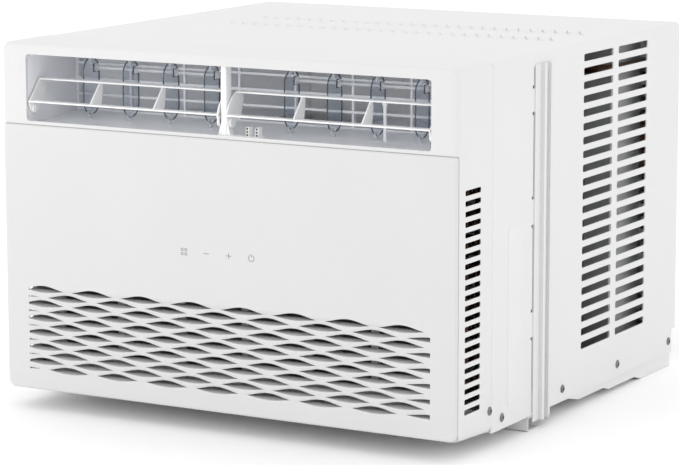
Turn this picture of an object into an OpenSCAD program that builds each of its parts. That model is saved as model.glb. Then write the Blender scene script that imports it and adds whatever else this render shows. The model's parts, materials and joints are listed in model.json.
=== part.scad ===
// Window air conditioner, built from its separate pieces.
// Millimetres. +X is to the right seen from the room, +Y runs from the room to the outdoors, +Z is up.
// The origin is the middle of the footprint, on the surface that the unit stands on.

/* [Casing] */
// Width of the casing over its two side sheets
unit_w = 480; // [470:1:490]
// Depth from the face of the front panel to the rear edge of the casing
unit_d = 480; // [476:1:500]
// Height from the standing surface to the top of the front bezel
unit_h = 348; // [346:1:352]
// Depth of the plastic bezel, from the front face to the seam with the metal casing
bezel_d = 67; // [66:1:72]
// Height of the bezel's underside above the standing surface
bezel_lift = 18; // [17:0.5:19]
// Thickness of the casing's sheet steel
sheet = 1.2; // [1:0.1:1.4]

/* [Air outlet] */
// Width of the outlet in the bezel
outlet_w = 426; // [424:1:428]
// Height of the outlet's lower edge
outlet_z0 = 274.7; // [274:0.1:276]
// Height of the outlet's upper edge
outlet_z1 = 337; // [336:0.5:338]
// Spacing of the upright vanes
vane_pitch = 44.5; // [44:0.1:45]
// Distance from the middle to the first vane on each side
vane_x0 = 42.5; // [40:0.5:44]
// Height of a vane's blade
vane_h = 54; // [50:1:55]
// Front to back depth of a vane's blade
vane_d = 26; // [24:1:26]

/* [Intake grille] */
// Length of one wave of the grille
wave = 54.5; // [50:0.5:58]
// Length of one lens-shaped opening
lens_l = 46; // [40:1:48]
// Height of one lens-shaped opening at its middle
lens_h = 4.6; // [4:0.1:4.8]
// Spacing of the rows of openings
row_pitch = 6.9; // [6.8:0.1:7]
// Number of rows of openings
rows = 12; // [10:1:12]

/* [Vents] */
// Number of rows of vents in each side of the casing
side_rows = 22; // [18:1:22]
// Spacing of those rows
side_pitch = 13; // [12.5:0.1:13]
// Number of slots in each side of the bezel
bezel_slots = 22; // [18:1:22]
// Spacing of those slots
bezel_slot_pitch = 9.25; // [8.8:0.05:9.3]
// Number of louvres in each row on the top
top_louvres = 28; // [20:1:28]

/* [Fans and coils] */
// Height of the fan shaft
shaft_z = 145; // [144:0.5:147]
// Distance of the fan shaft from the middle, towards the left
shaft_left = 35; // [32:1:38]
// Radius of the fan shaft
shaft_r = 4; // [3.5:0.5:4.5]
// Radius of the blower wheel
wheel_r = 88; // [80:1:90]
// Number of blades on the blower wheel
wheel_blades = 32; // [24:1:36]
// Radius of the outdoor fan, over its slinger ring
fan_r = 125; // [118:1:126]
// Number of blades on the outdoor fan
fan_blades = 5; // [4:1:7]
// Radius of the compressor's shell
comp_r = 56; // [50:1:57]

/* [Hidden] */
$fn = 48;

x_out = unit_w/2;
y_face = -unit_d/2;
y_seam = y_face + bezel_d;
y_rear = unit_d/2;
fit = 0.3;                       // gap between pieces that don't touch
play = 0.08;                     // running clearance round a pivot, on the radius

// bezel and panel
bezel_wall = 2.7;
bezel_face = y_face + 1.5;       // the panel stands proud of the bezel by this much
bezel_low_face = y_face + 3.8;   // the bezel's face behind the panel
panel_top = 271.3;
panel_bottom = bezel_lift + 1.2;
panel_half_w = x_out - 1;
hinge_y = y_face + 7.5;
hinge_z = bezel_lift + 6;
hinge_r = 2;
hinge_x = 228;                   // outer face of the panel's hinge ears

// grille
grille_x0 = -196.5;              // middle of the first opening in the top row
grille_top = 115.5;
grille_half_w = 213.5;

// bezel side slots
bezel_slot_y = [y_face + 14.4, y_face + 42.7];
bezel_slot_z0 = bezel_lift + 23.8;
bezel_slot_h = 4.5;

// touch keys, from left to right
key_x = [-39.7, -16, 8, 31.8];
key_z = 165.7;

// outlet
duct_half = outlet_w/2 + 0.5;
duct_wall = 2.5;
duct_floor = 272.5;
duct_back_floor = 276;
duct_ceiling = 337.5;
duct_y0 = bezel_face + 3.3;
duct_y1 = -46;
pivot_y = y_face + 11;           // louvre pivots
pivot_z = 286;
pivot_r = 2.5;
louvre_in = 4.2;
louvre_out = outlet_w/2 - 1.5;
web_t = 1.2;
blade_t = 1.6;
vane_y = y_face + 52;            // vane pivots
vane_front = y_face + 42;
vane_z0 = 277;
vane_t = 1.4;
stem_r = 2;
link_y = vane_y + 11;            // pins that carry the tie rod
link_z = 320.5;
link_r = 1.2;

// casing
side_z0 = bezel_lift - 3.7;      // lower edge of the side sheets
top_z = unit_h - 1;
casing_corner = 6;
rear_window = [226, 334];        // half width and height of the opening for the condenser
vent_h = 7;
vent_z0 = 56.3;
vent_cols = [[14.9, 80.8], [92.7, 161]];
screw_places = [[y_seam - 3.5, 35.8], [y_seam + 21, 25], [-25, 26.3], [99.6, 26.3], [224, 26.3]];
screw_r = 2;
channel_y0 = y_face + 150;       // front edge of the curtain channel
channel_y1 = y_face + 186;
slit_w = 1.8;                    // slits in the casing, along the channel's front edge
slit_y = channel_y0 - slit_w;
channel_z0 = 8;
channel_z1 = 337;
slit_spans = [[channel_z1 - 20, channel_z1 - 2], [216, 293], [112, 190], [16, 86]];
rail_y0 = y_face + 142;
rail_y1 = y_face + 166;
rail_hole_r = 2.5;
rail_hole_x = 150;

// base pan: [y, height of the underside]
pan_t = 1.5;
pan_half = x_out - sheet - 0.3;
pan_y0 = y_seam + 1;
pan_y1 = y_rear - 8.5;
pan_steps = [[pan_y0, 14], [-11, 14], [15, 8], [72, 8], [83, 4.5], [145, 4.5], [160, 0], [pan_y1, 0]];
pan_wall_top = 36;
drain_x = -150;
drain_y = 195;
drain_r = 6;

// machine
shaft_x = -shaft_left;
scroll_r = 113;
scroll_y = [-128, -46];
scroll_t = 2.5;
throat_x = [shaft_x + 18, shaft_x + 121];
inlet_r = 70;
evap_y = [y_face + 56, y_face + 92];
evap_z = [37, 262];
evap_half = 210;
filter_y = evap_y[0] - 10;
filter_half = evap_half + 3;
bulkhead_y = -40;
motor_y = [-20, 58];
motor_r = 58;
fan_y = [128, 158];
shroud_y = 118;
cond_y = [188, 226];
cond_z = [8, 334];
cond_half = 221;
comp_x = 165;
comp_y = 50;
comp_z = [40, 262];
// the compressor's three feet, from its middle, with the height where the pan's post starts
feet = [[56, 44, 5], [-56, 44, 5], [0, -74, 15]];
post_top = 22;
acc_x = 80;
acc_y = 58;
acc_r = 24;
pipe_r = 4.8;
line_x = 222;                    // the suction line runs forward here, under the duct
line_z = 258;
gland_y = y_face + 120;
gland_z = 60;
gland_r = 7;
cord_r = 4;

// an outline in (x, z) made into a solid from y0 to y1
module along_y(y0, y1) translate([0, y1, 0]) rotate([90, 0, 0]) linear_extrude(y1 - y0) children();
// an outline in (y, z) made into a solid from x0 to x1
module along_x(x0, x1) translate([x0, 0, 0]) rotate([90, 0, 90]) linear_extrude(x1 - x0) children();
module block(lo, hi) translate(lo) cube(hi - lo);
module rod_x(x0, x1, y, z, r) translate([x0, y, z]) rotate([0, 90, 0]) cylinder(h = x1 - x0, r = r);
module rod_y(y0, y1, x, z, r) translate([x, y1, z]) rotate([90, 0, 0]) cylinder(h = y1 - y0, r = r);
module rod_z(z0, z1, x, y, r) translate([x, y, z0]) cylinder(h = z1 - z0, r = r);
module both_sides() { children(); mirror([1, 0, 0]) children(); }
module both_sides_of(x) translate([x, 0, 0]) both_sides() children();

// rectangle from lo to hi with round corners
module round_rect(lo, hi, r) {
    translate([lo[0] + r, lo[1]]) square([hi[0] - lo[0] - 2*r, hi[1] - lo[1]]);
    translate([lo[0], lo[1] + r]) square([hi[0] - lo[0], hi[1] - lo[1] - 2*r]);
    for (x = [lo[0] + r, hi[0] - r], y = [lo[1] + r, hi[1] - r]) translate([x, y]) circle(r);
}

// a block whose front edges are rounded, with round corners seen from the front
module soft_block(half_w, y0, y1, z0, z1, corner, edge) intersection() {
    along_y(y0, y1) round_rect([-half_w, z0], [half_w, z1], corner);
    along_x(-half_w, half_w) round_rect([y0, z0], [y1 + 2*edge, z1], edge);
    translate([0, 0, z0]) linear_extrude(z1 - z0) round_rect([-half_w, y0], [half_w, y1 + 2*edge], edge);
}

module screw_holes(r = screw_r + 0.05)
    for (p = screw_places) both_sides() rod_x(x_out - 6, x_out + 2, p[0], p[1], r);

// ---------------------------------------------------------------- front

module bezel_side_slots() {
    for (i = [0 : bezel_slots - 1])
        both_sides() along_x(x_out - bezel_wall - 1, x_out + 1)
            translate([bezel_slot_y[0], bezel_slot_z0 + i*bezel_slot_pitch])
                round_rect([0, 0], [bezel_slot_y[1] - bezel_slot_y[0], bezel_slot_h], 1);
}

module filter_rails() both_sides()
    for (y = [evap_y[0] - 12.5, evap_y[0] - 4.2])
        block([evap_half - 2, y, 40], [x_out - bezel_wall + 0.5, y + 2, 250]);

module front_bezel() color("white") {
    inner = x_out - bezel_wall;
    difference() {
        union() {
            difference() {
                soft_block(x_out, bezel_face, y_seam, bezel_lift, unit_h, 8, 4.5);
                block([-inner, bezel_face + 3, bezel_lift + bezel_wall], [inner, y_seam + 1, unit_h - bezel_wall]);
                // room for the panel and for its swing at the bottom
                block([-x_out - 1, bezel_face - 1, 0], [x_out + 1, bezel_low_face, panel_top + fit]);
                block([-x_out - 1, bezel_face - 1, 0], [x_out + 1, hinge_y + 2, hinge_z - 2.4]);
                block([-x_out - 1, bezel_face - 1, 0], [x_out + 1, hinge_y - 2.6, hinge_z + 0.5]);
                // outlet and intake windows
                along_y(bezel_face - 1, bezel_face + 4)
                    round_rect([-outlet_w/2, outlet_z0], [outlet_w/2, outlet_z1], 3);
                block([-hinge_x - 1, bezel_face - 1, 0], [hinge_x + 1, bezel_face + 4, panel_top - 9]);
            }
            // cross bar that carries the touch board
            block([-hinge_x - 2, bezel_face + 2, key_z - 15], [hinge_x + 2, bezel_face + 3.7, key_z + 15]);
            filter_rails();
            // hinge lugs
            both_sides() {
                rod_x(hinge_x + 1, inner + 0.5, hinge_y, hinge_z, 3.8);
                block([hinge_x + 1, hinge_y, hinge_z - 3.6], [inner + 0.5, hinge_y + 12, hinge_z + 3.6]);
            }
        }
        both_sides() rod_x(hinge_x, inner - 1, hinge_y, hinge_z, hinge_r + play);
        bezel_side_slots();
        screw_holes();
        // key windows in the cross bar
        for (x = key_x) rod_y(bezel_face + 1, bezel_face + 4, x, key_z, 5);
    }
}

// one opening, between two arcs
module lens() {
    half = lens_h/2;
    arc_r = (lens_l*lens_l/4 + half*half)/(2*half);
    intersection() {
        translate([0, half - arc_r]) circle(arc_r, $fn = 180);
        translate([0, arc_r - half]) circle(arc_r, $fn = 180);
    }
}

module grille_openings() intersection() {
    for (r = [0 : rows - 1]) {
        odd = r % 2;
        for (k = [-odd : 7])
            translate([grille_x0 + (k + odd/2)*wave, grille_top - r*row_pitch]) lens();
    }
    translate([-grille_half_w, 0]) square([2*grille_half_w, 200]);
}

module intake_panel() color("whitesmoke") {
    difference() {
        soft_block(panel_half_w, y_face, y_face + 3.4, panel_bottom, panel_top, 6, 2.5);
        block([-panel_half_w + 3, y_face + 2.4, panel_bottom + 3], [panel_half_w - 3, y_face + 5, panel_top - 3]);
        along_y(y_face - 1, y_face + 4) grille_openings();
    }
    // hinge ears with their pins, and the catches at the top
    both_sides() {
        difference() {
            union() {
                rod_x(hinge_x - 5, hinge_x, hinge_y, hinge_z, 3.4);
                block([hinge_x - 5, y_face + 2.2, hinge_z - 3.4], [hinge_x, hinge_y, hinge_z + 3.4]);
            }
            block([hinge_x - 6, y_face - 1, hinge_z - 4], [hinge_x + 1, y_face + 2, hinge_z + 4]);
        }
        rod_x(hinge_x - 1, hinge_x + 7, hinge_y, hinge_z, hinge_r);
        block([130, y_face + 2.2, panel_top - 15], [146, y_face + 9, panel_top - 12.5]);
        block([130, y_face + 7, panel_top - 12.6], [146, y_face + 9, panel_top - 11]);
    }
}

module touch_board() {
    color("darkgreen")
        block([-70, bezel_face + 3.7, key_z - 13], [70, bezel_face + 5.3, key_z + 13]);
    color("silver") for (x = key_x) rod_y(bezel_face + 1.2, bezel_face + 3.8, x, key_z, 4);
    color("black") block([42, bezel_face + 5.2, key_z - 5], [60, bezel_face + 10, key_z + 5]);
}

module filter_frame() color("gainsboro") difference() {
    block([-filter_half, filter_y, 42], [filter_half, filter_y + 4, 258]);
    for (i = [0 : 5], k = [0 : 2])
        block([-filter_half + 8 + i*68.3, filter_y - 1, 50 + k*67.6],
              [-filter_half + 8 + i*68.3 + 61.5, filter_y + 5, 50 + k*67.6 + 63]);
}
module filter_mesh() color("darkgray")
    block([-filter_half + 4, filter_y + 4, 46], [filter_half - 4, filter_y + 4.6, 254]);

// ---------------------------------------------------------------- air outlet

module duct_outline(grow) polygon([
    [duct_y0, duct_floor - grow], [-200, duct_floor - grow], [-158, duct_back_floor - grow],
    [duct_y1, duct_back_floor - grow], [duct_y1, duct_ceiling + grow], [duct_y0, duct_ceiling + grow]]);

module outlet_duct() color("white") difference() {
    along_x(-duct_half - duct_wall, duct_half + duct_wall) duct_outline(4);
    difference() {
        along_x(-duct_half, duct_half) duct_outline(0);
        block([-duct_half - 1, duct_y1 - duct_wall, 250], [duct_half + 1, duct_y1 + 1, 350]);
    }
    block([-duct_half, duct_y0 - 1, duct_floor], [duct_half, duct_y0 + 1, duct_ceiling]);
    // throat of the blower
    block([throat_x[0], scroll_y[0] + 2, 260], [throat_x[1] - scroll_t, scroll_y[1] - scroll_t, 280]);
    both_sides() {
        rod_x(duct_half - 1, duct_half + duct_wall + 1, pivot_y, pivot_z, pivot_r + play);
        for (k = [0 : 3]) {
            rod_z(260, 280, vane_x0 + k*vane_pitch, vane_y, stem_r + play);
            rod_z(335, 345, vane_x0 + k*vane_pitch, vane_y, stem_r + play);
        }
    }
}

module outlet_lattice() color("white") {
    y = y_face + 84;
    z0 = duct_back_floor + 0.2;
    z1 = duct_ceiling - 0.2;
    difference() {
        block([-duct_half + 0.2, y, z0], [duct_half - 0.2, y + 4, z1]);
        for (i = [0 : 6], k = [0 : 3])
            block([-duct_half + 3 + i*60.2, y - 1, z0 + 2 + k*14.8],
                  [-duct_half + 3 + i*60.2 + 58, y + 5, z0 + 2 + k*14.8 + 12.6]);
    }
}

module centre_pillar() color("white") difference() {
    union() {
        block([-3, pivot_y - 5, duct_floor + 0.1], [3, pivot_y + 5, duct_ceiling - 0.1]);
        // foot with two small clips beside the louvre ends
        block([-3, pivot_y - 6, duct_floor + 0.1], [38, pivot_y + 3, duct_floor + 2.5]);
        for (x = [24, 34]) block([x, pivot_y - 6, duct_floor + 2], [x + 3, pivot_y + 1, duct_floor + 11]);
    }
    rod_x(-4, 4, pivot_y, pivot_z, pivot_r + play);
}

// end and middle webs of a louvre, in (y, z)
module web_outline() {
    polygon([[pivot_y - 9, 291.9], [pivot_y + 9, 313], [pivot_y + 21, 313],
             [pivot_y + 21, 303], [pivot_y + 9, 291.9]]);
}
module end_web_outline() {
    web_outline();
    polygon([[pivot_y - 8, 292], [pivot_y + 8, 292], [pivot_y + 4, pivot_z], [pivot_y - 4, pivot_z]]);
    translate([pivot_y, pivot_z]) circle(4.5);
}
// a louvre from x0 to x1, both positive
module louvre() {
    span = louvre_out - louvre_in;
    block([louvre_in, pivot_y - 9, 291.9], [louvre_out, pivot_y + 1, 291.9 + blade_t]);
    block([louvre_in, pivot_y + 9, 313 - blade_t], [louvre_out, pivot_y + 21, 313]);
    along_x(louvre_in, louvre_in + web_t) end_web_outline();
    along_x(louvre_out - web_t, louvre_out) end_web_outline();
    for (k = [1, 2]) along_x(louvre_in + k*span/3, louvre_in + k*span/3 + web_t) web_outline();
    rod_x(louvre_in - 2.6, louvre_in + 0.5, pivot_y, pivot_z, pivot_r);
    rod_x(louvre_out - 0.5, louvre_out + 4, pivot_y, pivot_z, pivot_r);
}
module louvre_left() color("white") mirror([1, 0, 0]) louvre();
module louvre_right() color("white") louvre();

// vane k = 1 to 4 on the right half, counted from the middle
module vane(k) {
    x = vane_x0 + (k - 1)*vane_pitch;
    r = vane_d/2;
    difference() {
        union() {
            along_x(x - vane_t/2, x + vane_t/2) round_rect([vane_front, vane_z0],
                [vane_front + vane_d, vane_z0 + vane_h], r - 0.01);
            rod_z(270.5, vane_z0 + 6, x, vane_y, stem_r);
            rod_z(vane_z0 + vane_h - 6, duct_ceiling + 2.5, x, vane_y, stem_r);
        }
        // notch for the tie rod
        block([x - 3, link_y - 4, link_z - 3.5], [x + 3, vane_front + vane_d + 1, link_z + 3.5]);
    }
    rod_z(link_z - 4, link_z + 4, x, link_y, link_r);
}
module vane_tint() color([0.62, 0.68, 0.76, 0.6]) children();
module vane_left_1() vane_tint() mirror([1, 0, 0]) vane(1);
module vane_left_2() vane_tint() mirror([1, 0, 0]) vane(2);
module vane_left_3() vane_tint() mirror([1, 0, 0]) vane(3);
module vane_left_4() vane_tint() mirror([1, 0, 0]) vane(4);
module vane_right_1() vane_tint() vane(1);
module vane_right_2() vane_tint() vane(2);
module vane_right_3() vane_tint() vane(3);
module vane_right_4() vane_tint() vane(4);

module tie_rod() difference() {
    union() {
        block([vane_x0, link_y - 1.4, link_z - 1.3], [vane_x0 + 3*vane_pitch, link_y + 1.4, link_z + 1.3]);
        for (k = [0 : 3]) rod_z(link_z - 1.6, link_z + 1.6, vane_x0 + k*vane_pitch, link_y, 3);
    }
    for (k = [0 : 3]) rod_z(link_z - 3, link_z + 3, vane_x0 + k*vane_pitch, link_y, link_r + play);
}
module tie_rod_left() color("white") mirror([1, 0, 0]) tie_rod();
module tie_rod_right() color("white") tie_rod();

// ---------------------------------------------------------------- casing

// section of the casing: an arch with round upper corners, down to z0
module casing_outline(inset, z0) {
    w = x_out - inset;
    top = top_z - inset;
    r = casing_corner - inset;
    translate([-w, z0]) square([2*w, top - r - z0]);
    translate([-w + r, z0]) square([2*w - 2*r, top - z0]);
    both_sides() translate([w - r, top - r]) circle(r);
}

// raised hood of one louvre on the top, and the slit beside it
module top_hood() rotate([0, 0, 28]) translate([0, -13, 0])
    rotate([-90, 0, 0]) linear_extrude(26) polygon([[0, 0.2], [4.4, 0.2], [0, -1.8]]);
module top_slit() rotate([0, 0, 28]) block([-1.5, -12, -2], [-0.1, 12, 1]);
module top_places() for (y = [24, 88], i = [0 : top_louvres - 1])
    translate([-150 + i*13, y, top_z]) children();

module side_vents() for (c = vent_cols, i = [0 : side_rows - 1])
    along_x(-x_out - 1, x_out + 1)
        translate([c[0], vent_z0 + i*side_pitch]) round_rect([0, 0], [c[1] - c[0], vent_h], 2);

// slits that the curtain channel's tabs hook into, with a square end where one starts and stops
module channel_slits() for (s = slit_spans) both_sides() {
    block([x_out - 3, slit_y, s[0] + 0.5], [x_out + 1, slit_y + slit_w, s[1] - 0.5]);
    for (z = s) if (z > 16 && z < channel_z1 - 3)
        block([x_out - 3, slit_y - 2.2, z - 1.5], [x_out + 1, slit_y + slit_w, z + 1.5]);
}

module cabinet_shell() color("white") {
    difference() {
        union() {
            difference() {
                along_y(y_seam + 0.2, y_rear) casing_outline(0, side_z0);
                along_y(y_seam - 1, y_rear - sheet) casing_outline(sheet, 0);
                block([-rear_window[0], y_rear - 5, 0], [rear_window[0], y_rear + 1, rear_window[1]]);
            }
            top_places() top_hood();
        }
        top_places() top_slit();
        side_vents();
        screw_holes();
        channel_slits();
        rod_x(-x_out - 1, -x_out + 3, gland_y, gland_z, gland_r + 0.1);
        // the side sheets stop short above the pan's rear corners
        block([-x_out - 1, y_rear - 8, 0], [x_out + 1, y_rear + 1, 38]);
    }
}

function raised(points, by) = [for (p = points) [p[0], p[1] + by]];
module base_pan() color("white") {
    difference() {
        along_x(-pan_half, pan_half)
            polygon(concat(pan_steps, [[pan_y1, pan_wall_top], [pan_y0, pan_wall_top]]));
        along_x(-pan_half + pan_t, pan_half - pan_t) intersection() {
            polygon(concat(raised(pan_steps, pan_t), [[pan_y1, 100], [pan_y0, 100]]));
            translate([pan_y0 + pan_t, 0]) square([pan_y1 - pan_y0 - 2*pan_t, 100]);
        }
        rod_z(-1, 10, drain_x, drain_y, drain_r);
        screw_holes();
        // the front wall is low, under the evaporator's tray
        block([-pan_half + pan_t, pan_y0 - 1, 21], [pan_half - pan_t, pan_y0 + pan_t + 1, pan_wall_top + 1]);
    }
    // posts under the compressor's feet
    for (f = feet) translate([comp_x + f[0], comp_y + f[1], 0]) difference() {
        rod_z(f[2], post_top, 0, 0, 11);
        rod_z(f[2] + 3, post_top + 1, 0, 0, 3);
    }
}

module sill_rail() color("white") difference() {
    union() {
        block([-x_out, rail_y0, 0], [x_out, rail_y0 + 1.2, 13.8]);
        block([-x_out, rail_y0, 0], [x_out, rail_y1, 1.2]);
        block([-x_out, rail_y0, 12.6], [x_out, rail_y1 - 4, 13.8]);
    }
    for (x = [-rail_hole_x, rail_hole_x]) rod_z(-1, 2, x, (rail_y0 + rail_y1)/2, rail_hole_r);
}

// flat flange on the casing's side, with two lips that hold the edge of a side curtain
module curtain_channel() difference() {
    union() {
        block([x_out, channel_y0, channel_z0], [x_out + 1, channel_y1, channel_z1]);
        for (y = [channel_y0 + 12, channel_y0 + 25])
            block([x_out, y, channel_z0], [x_out + 4.5, y + 1.6, channel_z1]);
        block([x_out + 3.3, channel_y0 + 12, channel_z0], [x_out + 4.5, channel_y0 + 16.5, channel_z1]);
    }
    for (z = [40, 150, 262]) block([x_out - 1, channel_y0 + 28.2, z], [x_out + 2, channel_y0 + 29.6, z + 25]);
}
module curtain_channel_left() color("white") mirror([1, 0, 0]) curtain_channel();
module curtain_channel_right() color("white") curtain_channel();

module rating_label() color("white")
    block([x_out, y_seam + 32, 32], [x_out + 0.2, y_seam + 58, 196]);

module case_screws() color("silver") for (p = screw_places) both_sides() difference() {
    union() {
        rod_x(x_out, x_out + 1.6, p[0], p[1], 4.1);
        rod_x(x_out - 5, x_out + 0.5, p[0], p[1], screw_r);
    }
    for (a = [0, 90]) translate([x_out + 1, p[0], p[1]]) rotate([a, 0, 0])
        cube([2, 4, 0.9], center = true);
}

// ---------------------------------------------------------------- indoor side

// return bends on one side of a coil, in rows along z
module return_bends(x, y, z0, pitch, count, r)
    for (i = [0 : count - 1]) translate([x, y, z0 + i*pitch + pitch/4]) rotate([90, 0, 0])
        intersection() {
            rotate_extrude() translate([pitch/4, 0]) circle(r, $fn = 24);
            translate([x > 0 ? 0 : -50, -50, -50]) cube([50, 100, 100]);
        }

module fin_pack(half, y, z) {
    block([-half + 1.2, y[0], z[0]], [half - 1.2, y[1], z[1]]);
    both_sides() block([half - 1.2, y[0] - 1, z[0]], [half, y[1] + 1, z[1]]);
}
module evaporator_fins() color("silver") fin_pack(evap_half, [evap_y[0] + 1, evap_y[1] - 1], evap_z);
module evaporator_tubes() color("peru") for (y = [evap_y[0] + 9, evap_y[1] - 9], x = [-evap_half, evap_half])
    return_bends(x, y, evap_z[0] + 12, 25, 8, 3.5);

module evaporator_tray() color("lightgray") difference() {
    block([-234, evap_y[0] - 1, 21.3], [234, evap_y[1] + 8, 37]);
    block([-231, evap_y[0] + 2, 29], [231, evap_y[1] + 5, 38]);
}

module scroll_outline(inset) {
    translate([shaft_x + 8, shaft_z]) circle(scroll_r - inset, $fn = 96);
    translate([throat_x[0] + inset, shaft_z]) square([throat_x[1] - throat_x[0] - 2*inset, 271.8 - shaft_z]);
}
module blower_scroll() color("gainsboro") difference() {
    along_y(scroll_y[0], scroll_y[1]) intersection() {
        scroll_outline(0);
        translate([-300, 20]) square([600, 251.8]);
    }
    along_y(scroll_y[0] - 1, scroll_y[1] - scroll_t) scroll_outline(scroll_t);
    block([throat_x[0] + scroll_t, scroll_y[0] - 1, shaft_z], [throat_x[1] - scroll_t, scroll_y[1] - scroll_t, 280]);
    rod_y(scroll_y[0], scroll_y[1] + 1, shaft_x, shaft_z, 12);
}
module inlet_ring() color("gainsboro") difference() {
    union() {
        along_y(scroll_y[0] - 2.5, scroll_y[0]) intersection() {
            scroll_outline(0);
            translate([-300, 20]) square([600, 251.8]);
        }
        rod_y(scroll_y[0] - 10, scroll_y[0], shaft_x, shaft_z, inlet_r + 4);
    }
    rod_y(scroll_y[0] - 11, scroll_y[0] + 1, shaft_x, shaft_z, inlet_r);
}

module blower_wheel() color("dimgray") {
    wheel_y = [scroll_y[0] + 6, scroll_y[1] - 8];
    difference() {
        union() {
            rod_y(wheel_y[1] - 2, wheel_y[1], shaft_x, shaft_z, wheel_r);
            rod_y(wheel_y[1] - 26, wheel_y[1], shaft_x, shaft_z, 14);
        }
        rod_y(wheel_y[0] - 1, wheel_y[1] + 1, shaft_x, shaft_z, shaft_r);
    }
    difference() {
        rod_y(wheel_y[0], wheel_y[0] + 3, shaft_x, shaft_z, wheel_r);
        rod_y(wheel_y[0] - 1, wheel_y[0] + 4, shaft_x, shaft_z, wheel_r - 14);
    }
    for (i = [0 : wheel_blades - 1]) translate([shaft_x, 0, shaft_z]) rotate([0, i*360/wheel_blades, 0])
        translate([wheel_r - 7.5, 0, 0]) rotate([0, 38, 0])
            block([-6, wheel_y[0] + 1, -0.6], [6, wheel_y[1] - 1, 0.6]);
}

module bulkhead() color("lightgray") difference() {
    block([-pan_half + 3, bulkhead_y, 16], [pan_half - 3, bulkhead_y + 1.2, 342]);
    rod_y(bulkhead_y - 1, bulkhead_y + 3, shaft_x, shaft_z, 20);
    rod_y(bulkhead_y - 1, bulkhead_y + 3, line_x, line_z, pipe_r + 3);
}

module cord_gland() color("black") difference() {
    union() {
        rod_x(-x_out - 2.5, -x_out, gland_y, gland_z, gland_r + 3);
        rod_x(-x_out - 1, -x_out + 8, gland_y, gland_z, gland_r);
        rod_x(-x_out + sheet + 0.1, -x_out + 4, gland_y, gland_z, gland_r + 1.5);
    }
    rod_x(-x_out - 3, -x_out + 9, gland_y, gland_z, cord_r);
}

// ---------------------------------------------------------------- outdoor side

module fan_motor() color("dimgray") difference() {
    union() {
        rod_y(motor_y[0] + 8, motor_y[1] - 8, shaft_x, shaft_z, motor_r);
        rod_y(motor_y[0], motor_y[1], shaft_x, shaft_z, motor_r - 12);
        rod_y(motor_y[0] - 8, motor_y[1] + 8, shaft_x, shaft_z, 14);
    }
    rod_y(motor_y[0] - 9, motor_y[1] + 9, shaft_x, shaft_z, shaft_r + play);
}
module motor_bracket() color("silver") difference() {
    union() {
        block([shaft_x - 60, motor_y[1] + 0.2, 9.7], [shaft_x + 60, motor_y[1] + 2.4, 210]);
        block([shaft_x - 60, motor_y[1] - 42, 9.7], [shaft_x + 60, motor_y[1] + 2.4, 12]);
        both_sides_of(shaft_x) block([58, motor_y[1] - 42, 9.7], [60, motor_y[1] + 2.4, 70]);
    }
    rod_y(motor_y[1] - 1, motor_y[1] + 4, shaft_x, shaft_z, 15);
}

module fan_shaft() color("silver") rod_y(scroll_y[0] + 30, fan_y[1] + 6, shaft_x, shaft_z, shaft_r);

module condenser_fan() color("dimgray") {
    mid = (fan_y[0] + fan_y[1])/2;
    difference() {
        rod_y(fan_y[0], fan_y[1], shaft_x, shaft_z, 26);
        rod_y(fan_y[0] - 1, fan_y[1] + 1, shaft_x, shaft_z, shaft_r);
    }
    for (i = [0 : fan_blades - 1]) translate([shaft_x, mid, shaft_z]) rotate([0, i*360/fan_blades, 0])
        intersection() {
            difference() {
                rod_y(-14, 14, 0, 0, fan_r - 1.5);
                rod_y(-15, 15, 0, 0, 25);
            }
            translate([70, 0, 0]) rotate([24, 0, 0]) cube([110, 2.2, 66], center = true);
        }
    difference() {
        rod_y(mid - 4, mid + 10, shaft_x, shaft_z, fan_r);
        rod_y(mid - 5, mid + 11, shaft_x, shaft_z, fan_r - 2.2);
    }
}

module condenser_shroud() color("gray") {
    difference() {
        block([-cond_half, shroud_y, 12], [cond_half, shroud_y + 2, 336]);
        rod_y(shroud_y - 1, shroud_y + 3, shaft_x, shaft_z, fan_r + 6);
    }
    both_sides() block([cond_half - 2, shroud_y, 12], [cond_half, cond_y[0] - 1.5, 336]);
    block([-cond_half, shroud_y, 334], [cond_half, cond_y[0] - 1.5, 336]);
}
module condenser_fins() color("silver") fin_pack(cond_half, [cond_y[0], cond_y[1]], cond_z);
module condenser_tubes() color("peru") for (y = [cond_y[0] + 10, cond_y[1] - 10], x = [-cond_half, cond_half])
    return_bends(x, y, cond_z[0] + 14, 25, 12, 3.5);

module compressor() color("#2b2b2b") {
    translate([comp_x, comp_y, 0]) {
        translate([0, 0, comp_z[0]]) cylinder(h = comp_z[1] - comp_z[0] - 25, r = comp_r);
        translate([0, 0, comp_z[1] - 61]) intersection() {
            sphere(comp_r + 5, $fn = 96);
            translate([0, 0, 35]) cylinder(h = 40, r = comp_r - 2);
        }
        difference() {
            translate([0, 0, 34]) linear_extrude(3) {
                polygon([for (f = feet) [f[0], f[1]]]);
                for (f = feet) translate([f[0], f[1]]) circle(13);
                circle(comp_r - 6);
            }
            for (f = feet) rod_z(30, 40, f[0], f[1], 7.2);
        }
        translate([0, 0, 36.5]) cylinder(h = 4, r = comp_r - 8);
        translate([-20, 10, comp_z[1] - 6]) cylinder(h = 14, r = pipe_r + 1.5);
    }
}
module at_feet() for (f = feet) translate([comp_x + f[0], comp_y + f[1], 0]) children();
module compressor_grommets() color("black") at_feet() difference() {
    union() {
        translate([0, 0, post_top]) cylinder(h = 12, r = 11);
        translate([0, 0, post_top + 11]) cylinder(h = 8, r = 7);
        translate([0, 0, 37]) cylinder(h = 4, r = 9.5);
    }
    translate([0, 0, post_top - 1]) cylinder(h = 30, r = 3.2);
}
module compressor_nuts() color("silver") at_feet() {
    translate([0, 0, post_top - 3]) cylinder(h = 28, r = 2.9);
    translate([0, 0, 41]) cylinder(h = 1.2, r = 9);
    translate([0, 0, 42.1]) cylinder(h = 4.5, r = 5, $fn = 6);
}
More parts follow.
